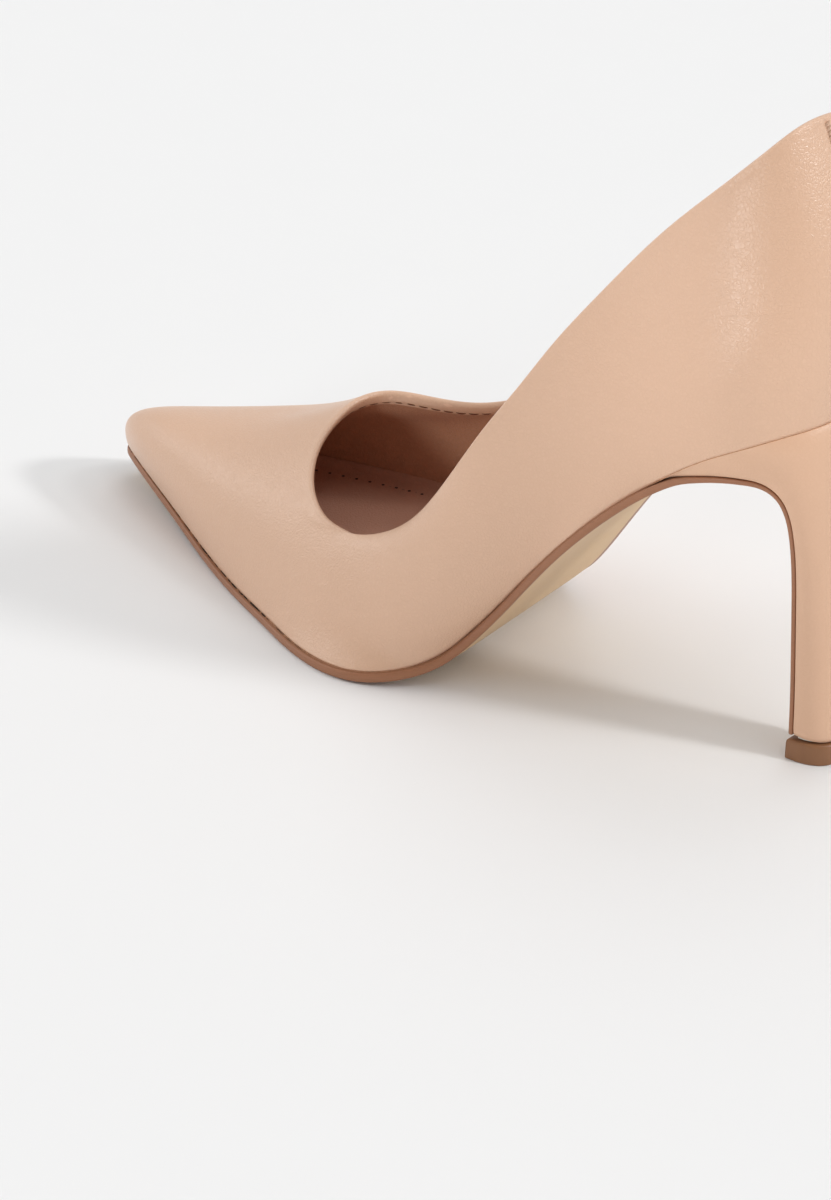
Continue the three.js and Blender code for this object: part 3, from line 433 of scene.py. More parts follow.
def leather(name, base, rough=0.37, grain=1.0, spec=0.5, variation=0.04, cell=1150.0, coat=0.0):
    m = Mat(name, rough=rough, spec=spec, coat=coat, coat_rough=0.35, sheen=0.05)
    big, mid, fine = m.noise(16, 2.0), m.noise(90, 3.0, seed=3.1), m.noise(3600, 3.0, 0.6)
    a = m.mix(big, scaled(base, 1 - variation, (0.998, 0.985, 0.965)), scaled(base, 1 + variation, (1.0, 1.008, 1.02)))
    a = m.mix(m.maths("MULTIPLY", mid, 0.35), a, scaled(base, 1 - variation * 1.4, (1.0, 0.98, 0.96)))
    pores = m.cells(cell, warp=(600, 0.0012))
    edge = m.maths("SMOOTH_MIN", m.maths("MULTIPLY", pores, 4.0), 1.0, 0.6)
    a = m.mix(m.maths("MULTIPLY", m.maths("SUBTRACT", 1.0, edge, clamp=True), 0.20 * grain), a, scaled(base, 0.86, (1, 0.95, 0.90)))
    # paler on sharp edges: partly skin stretched over the edge, partly a painted highlight along the rims
    geo = m.node("ShaderNodeNewGeometry")
    stretch_and_rim_highlight = m.ramp(geo.outputs["Pointiness"], [(0.515, (0, 0, 0, 1)), (0.60, (1, 1, 1, 1))])
    a = m.mix(m.maths("MULTIPLY", stretch_and_rim_highlight, 0.70), a, scaled(base, 1.14, (1, 1.02, 1.05)))
    m.colour(a)
    wr = m.noise(620, 3.0, 0.6, stretch=(1.0, 1.0, 0.5), distort=1.4, seed=1.3)
    wr = m.maths("ABSOLUTE", m.maths("SUBTRACT", wr, 0.5))
    m.bump([(m.noise(60, 2.0, seed=8.0), 0.0010, 0.10), (wr, 0.00042 * grain, 0.40), (edge, 0.00006 * grain, 0.60), (fine, 0.000016 * grain, 0.5)])
    m.roughness(m.noise(260, 3.0, seed=5.5), rough - 0.04, rough + 0.06)
    return m.m


NUDE = srgb(225, 185, 156)
M_upper = leather("smooth_nude_leather", NUDE, rough=0.31, spec=0.8)
M_heel = leather("heel_cover_leather", scaled(NUDE, 0.98, (1.0, 0.985, 0.97)), grain=0.6)
M_lining = leather("grained_lining", srgb(206, 158, 128), rough=0.40, grain=1.8, variation=0.05, cell=1000.0)
M_sock = leather("sock_material", srgb(206, 160, 138), rough=0.5, grain=1.1, variation=0.04, cell=1250.0)


def m_sole_edge():
    m = Mat("painted_sole_edge", rough=0.42, spec=0.45, coat=0.15, coat_rough=0.35)
    base = srgb(160, 108, 76)
    streak = m.noise(900, 4.0, 0.6, stretch=(0.25, 0.25, 3.0))
    c = m.mix(streak, scaled(base, 0.84), scaled(base, 1.12, (1.0, 1.01, 1.04)))
    worn = m.ramp(m.noise(1500, 3.0, 0.7, seed=2.2), [(0.60, (0, 0, 0, 1)), (0.74, (1, 1, 1, 1))])
    c = m.mix(m.maths("MULTIPLY", worn, 0.28), c, srgb(120, 84, 64))
    m.colour(c)
    m.bump([(streak, 0.00012, 0.5), (m.noise(2600, 2.0), 0.00003, 0.5)])
    m.roughness(streak, 0.36, 0.52)
    return m.m


def m_glue():
    m = Mat("feather_line", rough=0.7, spec=0.2)
    n = m.noise(620, 3.0, 0.7, seed=4.0)
    sep = m.node("ShaderNodeSeparateXYZ")
    m.link(m.co, sep.inputs[0])
    fore = m.node("ShaderNodeMapRange", interpolation_type="SMOOTHSTEP")
    fore.inputs["From Min"].default_value, fore.inputs["From Max"].default_value = 0.0, 0.035
    m.link(sep.outputs["X"], fore.inputs["Value"])
    edge = m.mix(n, srgb(142, 96, 68), srgb(178, 132, 102))
    dark = m.ramp(n, [(0.50, (1, 1, 1, 1)), (0.56, (0, 0, 0, 1))])
    m.colour(m.mix(m.maths("MULTIPLY", dark, fore.outputs["Result"]), edge, srgb(48, 30, 22)))
    m.bump([(n, 0.0003, 0.7)])
    return m.m


def m_seam():
    m = Mat("seat_seam", rough=0.6, spec=0.3)
    n = m.noise(800, 3.0, 0.6, seed=9.0)
    m.colour(m.mix(n, srgb(168, 118, 84), srgb(206, 160, 128)))
    m.bump([(n, 0.0001, 0.5)])
    return m.m


def m_sole_bottom():
    m = Mat("cream_sole_sheet", rough=0.55, spec=0.35)
    base = srgb(222, 192, 156)
    c = m.mix(m.noise(45, 4.0), scaled(base, 0.93), scaled(base, 1.05, (1.0, 1.0, 0.97)))
    speck = m.ramp(m.noise(2400, 2.0, 0.6, seed=1.0), [(0.62, (0, 0, 0, 1)), (0.75, (1, 1, 1, 1))])
    c = m.mix(m.maths("MULTIPLY", speck, 0.2), c, srgb(176, 148, 114))
    # scuffs where the sole meets the floor
    geo = m.node("ShaderNodeSeparateXYZ")
    m.link(m.co, geo.inputs[0])
    low = m.node("ShaderNodeMapRange")
    low.inputs["From Min"].default_value, low.inputs["From Max"].default_value = 0.0008, 0.0
    m.link(geo.outputs["Z"], low.inputs["Value"])
    scuff = m.ramp(m.noise(160, 5.0, 0.7, stretch=(0.4, 1.6, 1)), [(0.5, (0, 0, 0, 1)), (0.68, (1, 1, 1, 1))])
    c = m.mix(m.maths("MULTIPLY", m.maths("MULTIPLY", scuff, low.outputs["Result"]), 0.35), c, srgb(168, 142, 112))
    m.colour(c)
    m.bump([(m.noise(1400, 3.0), 0.00004, 0.5), (m.noise(60, 2.0), 0.0004, 0.25)])
    m.roughness(m.noise(120, 3.0, seed=7.0), 0.48, 0.66)
    return m.m


def m_tip():
    m = Mat("cast_top_piece", rough=0.36, spec=0.5, coat=0.05, coat_rough=0.25)
    base = srgb(138, 95, 63)
    c = m.mix(m.noise(240, 3.0, stretch=(1.6, 1.6, 0.5)), scaled(base, 0.86), scaled(base, 1.12, (1.0, 1.0, 0.98)))
    m.colour(c)
    m.bump([(m.noise(500, 2.0, stretch=(1, 1, 0.15)), 0.0002, 0.35), (m.noise(3000, 2.0), 0.00002, 0.5)])
    m.roughness(m.noise(420, 3.0), 0.28, 0.46)
    return m.m


def m_thread(name, base):
    m = Mat(name, rough=0.7, spec=0.3, sheen=0.2)
    w = m.node("ShaderNodeTexWave", wave_type="BANDS", bands_direction="DIAGONAL")
    w.inputs["Scale"].default_value = 2400
    w.inputs["Distortion"].default_value = 1.0
    m.link(m.co, w.inputs["Vector"])
    m.colour(m.mix(w.outputs["Fac"], scaled(base, 0.72), scaled(base, 1.1)))
    m.bump([(w.outputs["Fac"], 0.00006, 0.7)])
    return m.m


def m_plain(name, base, rough, scale, metal=0.0, depth=0.0001, var=0.12):
    m = Mat(name, rough=rough, metal=metal)
    n = m.noise(scale, 4.0, 0.6)
    m.colour(m.mix(n, scaled(base, 1 - var), scaled(base, 1 + var)))
    m.bump([(n, depth, 0.5)])
    m.roughness(m.noise(scale * 0.4, 2.0, seed=2.0), max(0.05, rough - 0.08), min(1, rough + 0.08))
    return m.m


M_edge, M_glue, M_seam, M_bottom, M_tip = m_sole_edge(), m_glue(), m_seam(), m_sole_bottom(), m_tip()
M_thread = m_thread("topline_thread", srgb(126, 82, 58))
M_thread_nude = m_thread("seam_thread", srgb(206, 166, 138))
M_thread_dark = m_thread("sock_thread", srgb(120, 78, 60))
# painted shade: a near-black colour that stands for the shadow inside the sock's needle holes
M_painted_hole_shade = m_plain("painted_hole_shade", srgb(52, 32, 24), 0.8, 2500, var=0.25)
M_steel = m_plain("zinc_plated_steel", srgb(176, 178, 182), 0.32, 900, metal=1.0, depth=0.00003)
M_board = m_plain("cellulose_board", srgb(186, 160, 122), 0.85, 700, depth=0.0002)
M_felt = m_plain("stiffener_felt", srgb(226, 220, 208), 0.9, 1500, depth=0.0003)
M_foam = m_plain("latex_foam", srgb(238, 232, 214), 0.9, 1800, depth=0.0004)
M_cork = m_plain("cork_filler", srgb(150, 116, 80), 0.9, 900, depth=0.0004, var=0.3)
M_abs = m_plain("heel_block_plastic", srgb(228, 224, 214), 0.5, 500, depth=0.00005, var=0.04)
for node, mat in {"heel_counter": M_felt, "side_stay_outer": M_felt, "side_stay_inner": M_felt, "toe_puff": M_felt, "forepart_filler": M_cork,
                  "insole_foam": M_foam, "insole_board": M_board, "steel_shank": M_steel, "heel_screw": M_steel, "heel_nail_1": M_steel,
                  "heel_nail_2": M_steel, "heel_nail_3": M_steel, "heel_nail_4": M_steel, "heel_tube": M_steel, "top_piece_pin": M_steel,
                  "heel_block": M_abs}.items():
    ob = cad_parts[node]
    if not ob.material_slots:
        ob.data.materials.append(mat)
    for s in ob.material_slots:
        s.material = mat

NTS = 520
TS = np.arange(NTS) * 40.0 / NTS
LEN, TO_H = arcs(TS)


def around(v, w):
    """Smooths a closed loop of vectors; w samples wide."""
    k = np.hanning(w + 2)[1:-1]
    k /= k.sum()
    p = w // 2
    q = np.concatenate([v[-p:], v, v[:p]])
    return np.stack([np.convolve(q[:, c], k, "valid") for c in range(3)], 1)


def wall(t, a, d, to_h, soft=0):
    """Points at arc a above the feather line and depth d below the outer face."""
    h = to_h(a)
    n, up, _ = frame_at(t, h)
    if soft:
        n = unit(around(n, soft))
    return S(t, h) - n * (d[..., None] if np.ndim(d) else d)


def fold_depth(back):
    """Depth of the folded edge's inner face, thin at the very top and full at the stitching."""
    s_ = min(1.0, max(0.0, (back - 0.3) / 2.6))
    return 1.376 + 1.244 * (1 - (1 - s_) ** 2)


# rib, share of its height, amount in mm, and reach along and up the wall
FULLNESS = [(2.5, 0.86, 0.42, 1.15, 0.13), (2.9, 0.34, 0.55, 1.35, 0.15), (37.4, 0.80, 0.30, 1.2, 0.16), (37.2, 0.40, 0.35, 1.4, 0.18)]


# ---- upper -----------------------------------------------------------------------
def build_upper():
    t, L = TS, LEN
    k = np.abs(20 - t)
    cols, tag = [], []
    m = 8.0 * np.minimum(1, np.minimum(0.25 + k / 3, 0.4 + (20 - k) / 8))
    for ins, off in ((m, 0.12), (m * 0 + 2.6, 0.12), (m * 0 + 1.3, 0.11), (m * 0 + 0.62, 0.16)):
        cols.append(feather(t, ins, off))
    # outer wall; the skin is drawn in slightly where it meets the sole
    nrow = 70
    u = np.linspace(0, 1, nrow)
    u = u * 0.82 + 0.18 * u**2.2
    seam = np.minimum(np.minimum(t, 40 - t), 3.0)  # distance from the centre back, in rib units
    seat = np.clip((np.minimum(t, 40 - t) - 5.6) / 0.8, 0, 1)
    for q in u:
        a = 0.12 + 0.16 * seat + (L - 2.6 - 0.28) * q
        d = (0.10 + 0.16 * seat) * np.exp(-((a / 0.5) ** 1.4))
        d = d + 0.30 * np.exp(-((seam / 0.035) ** 2)) - 0.10 * np.exp(-(((seam - 0.11) / 0.05) ** 2))
        for t0, f0, amp, rt, rf in FULLNESS:
            away = (t - t0 + 20) % 40 - 20
            d = d - amp * np.exp(-((away / rt) ** 2) - ((a / L - f0) / rf) ** 2)
        cols.append(wall(t, a, d, TO_H))
    for back in (2.2, 1.8, 1.4, 1.1):
        cols.append(wall(t, L - back, -0.05 * math.exp(-(((back - 1.1) / 0.6) ** 2)) + 0.22 * np.exp(-((seam / 0.035) ** 2)), TO_H))
    # rounded top edge
    h = TO_H(L - 0.80)
    n, up, _ = frame_at(t, h)
    n2, up2 = unit(around(n, 21)), unit(around(up, 21))
    C = S(t, h) - n2 * 0.76
    for ph in np.linspace(0, 0.78 * math.pi, 13):
        cols.append(C + n2 * 0.80 * math.cos(ph) + up2 * 0.78 * math.sin(ph))
    # inside of the fold, with the stitched groove and its cut edge
    for back in (0.45, 0.65, 0.85, 1.1, 1.4, 1.7, 1.95, 2.15, 2.32, 2.44, 2.55, 2.66, 2.8, 3.0, 3.2, 3.34):
        g = 0.24 * math.exp(-((back - 2.55) / 0.15) ** 2)
        lip = 0.14 * math.exp(-((back - 3.15) / 0.22) ** 2)
        cols.append(wall(t, L - back, fold_depth(back) - g + lip, TO_H, 21))
    for back, d in ((3.45, 2.68), (3.50, 2.5), (3.48, 2.1), (3.5, 1.4), (3.9, 1.0)):
        cols.append(wall(t, L - back, d, TO_H, 21))
    for q in np.linspace(0.95, 0.03, 14):
        cols.append(wall(t, 2.0 + (L - 6.0) * q, 1.0, TO_H))
    cols.append(feather(t, 1.4, 1.12))
    cols.append(feather(t, m, 1.12))
    G = np.stack(cols, 1)
    # the last rings of the wall and the whole fold run in one fair curve round the throat
    near = np.exp(-(((np.abs(t - 20) - 4.0) / 3.0) ** 2))[:, None]
    first = 4 + nrow - 4
    for j in range(first, first + 4 + 4 + 13 + 16 + 5):
        w = near * min(1.0, (j - first + 1) / 5)
        fair = around(G[:, j], 61)
        fair = fair + around(G[:, j] - fair, 61)
        G[:, j] = G[:, j] * (1 - w) + fair * w
    F, c = loft(G, wrap_i=True)
    return mesh("upper_leather", G, F, [M_upper], nodes=("upper",))


# ---- lining ------------------------------------------------------------------------
def build_lining():
    t, L = TS, LEN
    cols = []
    nrow = 44
    for q in np.linspace(0, 1, nrow):
        back = (L - 3.2 - 3.42) * (1 - q)
        cols.append(wall(t, 3.2 + (L - 3.2 - 3.42) * q, 3.08 - 0.58 * np.exp(-((back / 5.0) ** 2)), TO_H, 21))
    for q in np.linspace(1, 0, 8):
        cols.append(wall(t, 3.2 + (L - 3.2 - 3.42) * q, 2.32 + 0 * t, TO_H, 21))
    G = np.stack(cols, 1)
    F, _ = loft(G, wrap_i=True)
    return mesh("shoe_lining", G, F, [M_lining], nodes=("lining",))


def topline_stitches():
    h = TO_H(LEN - 2.55)
    n, up, al = frame_at(TS, h)
    n = unit(around(n, 21))
    p = S(TS, h) - n * (fold_depth(2.55) - 0.10)
    V, F = beads(p, al, -n, 3.0, 2.9, 0.27)
    mesh("topline_stitches", V, F, [M_thread], nodes=("topline_stitching",))


def back_seam():
    # fine stitches either side of the centre-back seam, and a whipped tack at its top
    L0 = LEN[0]
    a = np.linspace(3.0, L0 - 8.5, 60)
    allV, allF = [], []
    for side in (-1, 1):
        t = np.full(60, side * 0.17) % 40
        L, to_h = arcs(t)
        h = to_h(a)
        n, up, al = frame_at(t, h)
        V, F = beads(S(t, h) + n * 0.06, up, n, 2.6, 1.9, 0.15, closed=False)
        allF += [[i + sum(len(v) for v in allV) for i in f] for f in F]
        allV.append(V)
    mesh("back_seam_stitches", np.vstack(allV), allF, [M_thread_nude], nodes=("back_seam_stitching",))
    V, F = [], []
    for j, a0 in enumerate(np.linspace(1.9, 6.6, 6)):
        ts = np.linspace(-0.17, 0.17, 9) % 40
        L, to_h = arcs(ts)
        h = to_h(L - a0 - 0.45 * np.linspace(-1, 1, 9))
        n, up, al = frame_at(ts, h)
        out = 0.10
        P = S(ts, h) + n * (out - 0.28 * np.linspace(-1, 1, 9)[:, None] ** 4)
        v, f = beads(P, al, n, 2.6, 2.5, 0.26, closed=False, rings=9)
        F += [[i + sum(len(x) for x in V) for i in q] for q in f]
        V.append(v)
    V = [v for v in V if len(v)]
    mesh("back_tack", np.vstack(V), F, [M_thread_nude], nodes=("bar_tack",))


# ---- sock and its stitching ----------------------------------------------------------
BOARD_Z = 1.45
FOAM_Z = BOARD_Z + 1.4 + 0.3
SOCK_Z = FOAM_Z + 4.6 + 0.3


def plan_loop(k, inset_a, inset_b, w):
    a = S(20 - k, 0 * k) + inward(20 - k) * inset_a[:, None]
    b = S(20 + k, 0 * k) + inward(20 + k) * inset_b[:, None]
    return a + (b - a) * w


def build_sock():
    k = np.linspace(1.9, 18.95, 240)
    ia, ib = clear_inset(20 - k, SOCK_Z, SOCK_Z + 2.0) - 0.15, clear_inset(20 + k, SOCK_Z, SOCK_Z + 2.0) - 0.15
    ws = np.linspace(0, 1, 56)
    ws = 0.5 - 0.5 * np.cos(np.pi * ws) * (1 - 0.18 * np.sin(np.pi * ws) ** 2)
    cols = []
    width = np.linalg.norm((S(20 - k, 0 * k) - S(20 + k, 0 * k)), axis=1)
    for w in ws:
        p = plan_loop(k, ia, ib, w)
        e = np.minimum(w, 1 - w) * width
        groove = 0.25 * np.exp(-(((e - 5.0) / 0.35) ** 2))
        pad = 0.34 - 0.20 / (1 + np.exp(-(e - 5.0) / 0.12))
        up = 1.25 * np.exp(-((e / 1.6) ** 1.5))
        cols.append(lift(p, SOCK_Z + 0.8 + up - groove + pad - 0.12))
    for w in ws[::-1][:: max(1, len(ws) // 8)]:
        cols.append(lift(plan_loop(k, ia, ib, w), 0 * k + SOCK_Z))
    G = np.stack(cols, 1)
    F, _ = loft(G, caps=True)
    mesh("sock", G, F, [M_sock], nodes=("sock",))
    # stitch line: sunk thread, with a dark speck at each end painted to stand for the shade inside the needle hole
    q = np.concatenate([np.linspace(3.2, 18.5, 160), np.linspace(18.5, 3.2, 160)])
    t = np.concatenate([20 - q[:160], 20 + q[160:]])
    i1 = clear_inset(t, SOCK_Z, SOCK_Z + 2.0) - 0.15 + 5.0
    P = feather(t, i1, SOCK_Z + 0.8 - 0.16)
    d = np.concatenate([[0], np.cumsum(np.linalg.norm(np.diff(P, axis=0), axis=1))])
    s = np.linspace(0, d[-1], 900)
    P = np.stack([np.interp(s, d, P[:, c]) for c in range(3)], 1)
    ker = np.hanning(25) / np.hanning(25).sum()
    Q = np.stack([np.convolve(np.pad(P[:, c], 12, mode="edge"), ker, "valid") for c in range(3)], 1)
    T_ = unit(np.gradient(Q, axis=0))
    N_ = ground(Q[:, 0], Q[:, 1])[1]
    V, F = beads(Q, T_, N_, 3.5, 2.0, 0.24, closed=False)
    ob = mesh("sock_stitches", V, F, [M_thread_dark], nodes=("sock_stitching",))
    # dark specks between the stitches, painted shade standing for the needle holes
    V, F = beads(Q + N_ * 0.14, T_, N_, 3.5, 1.35, 0.40, start=1.75, closed=False, flat=0.35)
    mesh("sock_hole_shade_specks", V, F, [M_painted_hole_shade])


# ---- outsole and breast flap ---------------------------------------------------------
def flap_curve(s):
    """Outer face of the flap at fractional row s: point, tangent, half width."""
    P = FLAP
    s = np.clip(np.asarray(s, float), 0, len(P) - 1)
    i = np.minimum(np.floor(s).astype(int), len(P) - 2)
    u = (s - i)[:, None]
    g = lambda q: P[np.clip(q, 0, len(P) - 1)]
    p0, p1, p2, p3 = g(i - 1), g(i), g(i + 1), g(i + 2)
    pt = 0.5 * (2 * p1 + (p2 - p0) * u + (2 * p0 - 5 * p1 + 4 * p2 - p3) * u**2 + (3 * p1 - p0 - 3 * p2 + p3) * u**3)
    dt = 0.5 * ((p2 - p0) + 2 * (2 * p0 - 5 * p1 + 4 * p2 - p3) * u + 3 * (3 * p1 - p0 - 3 * p2 + p3) * u**2)
    return pt, unit(dt[:, :2])


def flap_row(s, off, yscale=1.0):
    pt, tg = flap_curve(s)
    return np.stack([pt[:, 0] + tg[:, 1] * off, pt[:, 2] * yscale, pt[:, 1] - tg[:, 0] * off], 1)


def flap_thick(s):
    return np.interp(s, [0, 0.8, 2, 4, 8, 16], [2.1, 1.8, 1.5, 1.3, 1.2, 1.15])


def flap_out(s):
    return np.interp(s, [0, 1.5, 8, 12, 16], [0.0, 0.3, 0.4, 0.15, 0.0])


# section of the sole as (side, across, depth): outer edge, underside, inner edge, top
def sole_section():
    sec = []
    for d, o in ((0.05, -0.35), (0.12, -0.08), (0.35, 0.03), (0.8, 0.06), (1.3, 0.03), (1.7, -0.06), (1.95, -0.22), (2.1, -0.5)):
        sec.append(("a", o, d))
    for w in np.linspace(0.03, 0.97, 26):
        sec.append(("u", w, 2.2))
    for d, o in ((2.1, -0.5), (1.95, -0.22), (1.7, -0.06), (1.3, 0.03), (0.8, 0.06), (0.35, 0.03), (0.12, -0.08), (0.05, -0.35)):
        sec.append(("b", o, d))
    for w in np.linspace(0.95, 0.05, 12):
        sec.append(("t", w, 0.1))
    return sec


def build_sole():
    sec = sole_section()
    K = np.concatenate([np.array([0.015, 0.05, 0.1, 0.17, 0.26, 0.38, 0.52]), np.linspace(0.7, 14.55, 190)])
    out = 0.7 * np.minimum(1, K / 4)
    fa, fb = S(20 - K, 0 * K), S(20 + K, 0 * K)
    na, nb = inward(20 - K), inward(20 + K)
    rows = []
    thin = 1 - 0.22 * np.clip((K - 8.5) / 3, 0, 1)
    for kind, x, d0 in sec:
        d = d0 * thin
        if kind in "ab":
            f, nn = (fa, na) if kind == "a" else (fb, nb)
            p = f - nn * (out + x)[:, None]
            off = -d + 0 * K
        else:
            a, b = fa - na * (out - 0.6)[:, None], fb - nb * (out - 0.6)[:, None]
            p = a + (b - a) * x
            e = np.minimum(x, 1 - x) * np.linalg.norm(b - a, axis=1)
            off = -d + (0.28 * np.exp(-e / 3.0) if kind == "u" else 0) + 0 * K
        q = lift(p, off)
        if kind != "t":
            drop = 0.15 * min(1, d0 / 2.0)
            q[:, 2] = np.maximum(q[:, 2] - drop, 0.0)
        rows.append(q)
    G1 = np.stack(rows, 1)
    s = np.linspace(0.55, 16, 110)
    thick = flap_thick(s)
    out = -flap_out(s)
    tw = np.maximum(0, 1.8 - 0.45 * s)
    rows = []
    for kind, x, d in sec:
        if kind in "ab":
            sg = 1 if kind == "a" else -1
            o = 0.15 + x
            p = flap_row(s, out + thick * (1 - d / 2.15))
            p[:, 1] = sg * (p[:, 1] + o)
        elif kind == "u":
            p = flap_row(s, out)
            p[:, 1] = (p[:, 1] - 0.25) * (1 - 2 * x)
            e = np.minimum(x, 1 - x) * 2 * flap_curve(s)[0][:, 2]
            p = p + 0
        else:
            p = flap_row(s, out + thick * 0.97)
            p[:, 1] = (p[:, 1] - 0.25) * (1 - 2 * x)
        side = (1 - np.sign(p[:, 1]) * np.minimum(1, np.abs(p[:, 1]) / 22)) / 2
        p[:, 2] += tw * side
        rows.append(p)
    G2 = np.stack(rows, 1)
    # rows before the notch: the easing step below multiplies by zero and leaves them unchanged
    nb_ = 8
    a0, b0 = G1[-1], G2[0]
    for j in range(nb_):
        f = ((j + 1) / nb_) ** 2 * 0.5
        G1[-nb_ + j] = G1[-nb_ + j] * 1.0 + (b0 - a0 - 0) * 0 * f
    G = np.concatenate([G1, G2], 0)
    # smooth along the length round the join
    jn = len(G1)
    for _ in range(14):
        lo, hi = jn - 7, jn + 7
        G[lo:hi] = 0.5 * G[lo:hi] + 0.25 * (G[lo - 1 : hi - 1] + G[lo + 1 : hi + 1])
    F, c = loft(G, caps=True)
    kinds = [x[0] for x in sec]
    fm = []
    m = len(sec)
    for col in c:
        if col < 0:
            fm.append(1)
            continue
        k1, k2 = kinds[col], kinds[(col + 1) % m]
        fm.append(0 if k1 == "u" and k2 == "u" else 1)
    mesh("sole_and_breast_flap", G, F, [M_bottom, M_edge], face_mat=fm, nodes=("outsole", "breast_flap"))


def line_bead(name, t, along, lift_off, radius, wobble, mat):
    """A thin irregular bead laid along the feather line, along mm outside it."""
    w = np.convolve(rng.random(len(t) + 8), np.ones(5) / 5, "same")[4 : 4 + len(t)] - 0.5
    nin = inward(t)
    p = S(t, 0 * t) - nin * (along + wobble * w)[:, None]
    c = lift(p, lift_off + 0 * t)
    n = ground(p[:, 0], p[:, 1])[1]
    r = radius * (1 + 0.6 * w)
    G = np.stack([c - nin * (r * math.cos(a))[:, None] + n * (r * math.sin(a))[:, None] for a in np.arange(8) * math.pi / 4], 1)
    F, _ = loft(G, caps=True)
    return mesh(name, G, F, [mat])


def build_lines():
    """The uneven line of cement where the upper meets the sole, and the fine seam round the heel seat."""
    k = np.linspace(0.06, SEAT_K + 0.1, 460)
    line_bead("feather_line_outer", 20 - k, -0.22, 0.03, 0.24, 0.2, M_glue)
    line_bead("feather_line_inner", 20 + k, -0.22, 0.03, 0.24, 0.2, M_glue)
    line_bead("heel_seat_seam", np.linspace(-5.3, 5.3, 420) % 40, -0.30, 0.03, 0.22, 0.05, M_seam)


# ---- heel ----------------------------------------------------------------------------
def heel_rows(s, inset, front, drop, q):
    """Heel contours: rows s along the breast, q from -1 (outer front) round the back to 1."""
    s = np.asarray(s, float)
    c = flap_row(s, flap_thick(s) - flap_out(s) + front)
    bx = np.interp(s, np.arange(17), HEEL_BACK[:, 0])
    i0 = np.minimum(np.floor(s).astype(int), 15)
    u = s - i0
    g = lambda a, k_: HEEL_BACK[np.clip(k_, 0, 16), a]
    cr = lambda a: 0.5 * (2 * g(a, i0) + (g(a, i0 + 1) - g(a, i0 - 1)) * u + (2 * g(a, i0 - 1) - 5 * g(a, i0) + 4 * g(a, i0 + 1) - g(a, i0 + 2)) * u**2 + (3 * g(a, i0) - g(a, i0 - 1) - 3 * g(a, i0 + 1) + g(a, i0 + 2)) * u**3)
    bx, bz = cr(0) + inset, cr(1)
    n = np.where(s < 2, 2.6, np.maximum(2.15, 2.6 - (s - 2) * 0.05))[:, None]
    th = np.abs(q)[None, :] * math.pi / 2
    a, si = np.cos(th) ** (2 / n), np.sin(th) ** (2 / n)
    e = np.where(s < 8, 0.8 + 0.025 * s, 1.0)[:, None]
    X = c[:, 0:1] + (bx[:, None] - c[:, 0:1]) * a
    Y = -np.sign(q)[None, :] * (c[:, 1:2] - inset) * si
    Z = c[:, 2:3] + (bz[:, None] - c[:, 2:3]) * np.maximum(a, 1e-9) ** e
    R = np.stack([X, Y, Z], -1)
    t = (-q * 5.18) % 40
    G0 = feather(t, inset, -drop)
    base = R[0]
    blend = np.clip(1 - s / 4, 0, 1)
    blend = (blend * blend * (3 - 2 * blend) + blend) / 2
    quick_ = np.clip(1 - s / 1.0, 0, 1) ** 1.5
    w = np.clip((np.abs(q) - 0.72) / 0.28, 0, 1) ** 2
    both = blend[:, None] * (1 - w)[None] + quick_[:, None] * w[None]
    return R + both[:, :, None] * (G0 - base)[None]


def build_heel():
    s = np.concatenate([np.linspace(0, 4, 26)[:-1], np.linspace(4, 9, 30)[:-1], np.linspace(9, 16, 46)])
    q = np.sin(np.linspace(-1, 1, 121) * math.pi / 2)
    q = 0.5 * q + 0.5 * np.linspace(-1, 1, len(q))
    A = heel_rows(s, 0.0, 0.10, 0.02, q)
    B = heel_rows(s, 0.75, 0.10, 0.02, q)
    # soften the top edge at the seam and the turned-in foot of the cover
    A[0] = A[0] * 0.78 + B[0] * 0.22
    A[-1] = A[-1] * 0.45 + B[-1] * 0.55
    A[-2] = A[-2] * 0.85 + B[-2] * 0.15
    # front edges turn in under the flap
    A[:, 0] = A[:, 0] * 0.5 + B[:, 0] * 0.5
    A[:, -1] = A[:, -1] * 0.5 + B[:, -1] * 0.5
    n, m = A.shape[:2]
    V = np.concatenate([A.reshape(-1, 3), B.reshape(-1, 3)])
    F = []
    o = n * m
    for i in range(n - 1):
        for j in range(m - 1):
            a = i * m + j
            F.append([a, a + m, a + m + 1, a + 1])
            F.append([o + a, o + a + 1, o + a + m + 1, o + a + m])
        a, b = i * m, i * m + m - 1
        F.append([a, o + a, o + a + m, a + m])
        F.append([b, b + m, o + b + m, o + b])
    for j in range(m - 1):
        a, b = j, (n - 1) * m + j
        F.append([a, a + 1, o + a + 1, o + a])
        F.append([b, o + b, o + b + 1, b + 1])
    mesh("heel_cover_leather", V, F, [M_heel], nodes=("heel_cover",))


def build_tip():
    q = np.linspace(-1, 1, 97)
    th = np.abs(q) * math.pi / 2
    n = 2.5
    a, si = np.cos(th) ** (2 / n), np.sin(th) ** (2 / n)
    rings = []
    for inset, z in ((2.5, 0.0), (0.4, 0.0), (0.16, 0.04), (0.05, 0.14), (0.0, 0.4), (0.0, 1.4), (0.02, 2.6), (0.05, 3.8), (0.10, 4.3), (0.20, 4.6), (0.42, 4.82), (0.8, 4.9), (2.5, 4.9)):
        x = -202.9 - inset * 0.9 + (-9.9 + 1.9 * inset) * a
        y = -np.sign(q) * (6.6 - inset) * si
        # the front corners are cut back a little
        cut = np.clip((np.abs(y) - (5.6 - inset)) / 1.0, 0, 1) * (x > -203.9 - inset)
        x = x - 0.35 * cut
        rings.append(np.stack([x, y, np.full(len(q), z)], 1))
    G = np.stack(rings, 0)
    # join the front of each ring straight across
    F, _ = loft(G, caps=True)
    mesh("top_piece_cast", G, F, [M_tip], nodes=("top_piece",))


build_upper()
build_lining()
topline_stitches()
back_seam()
build_sock()
build_sole()
build_lines()
build_heel()
build_tip()

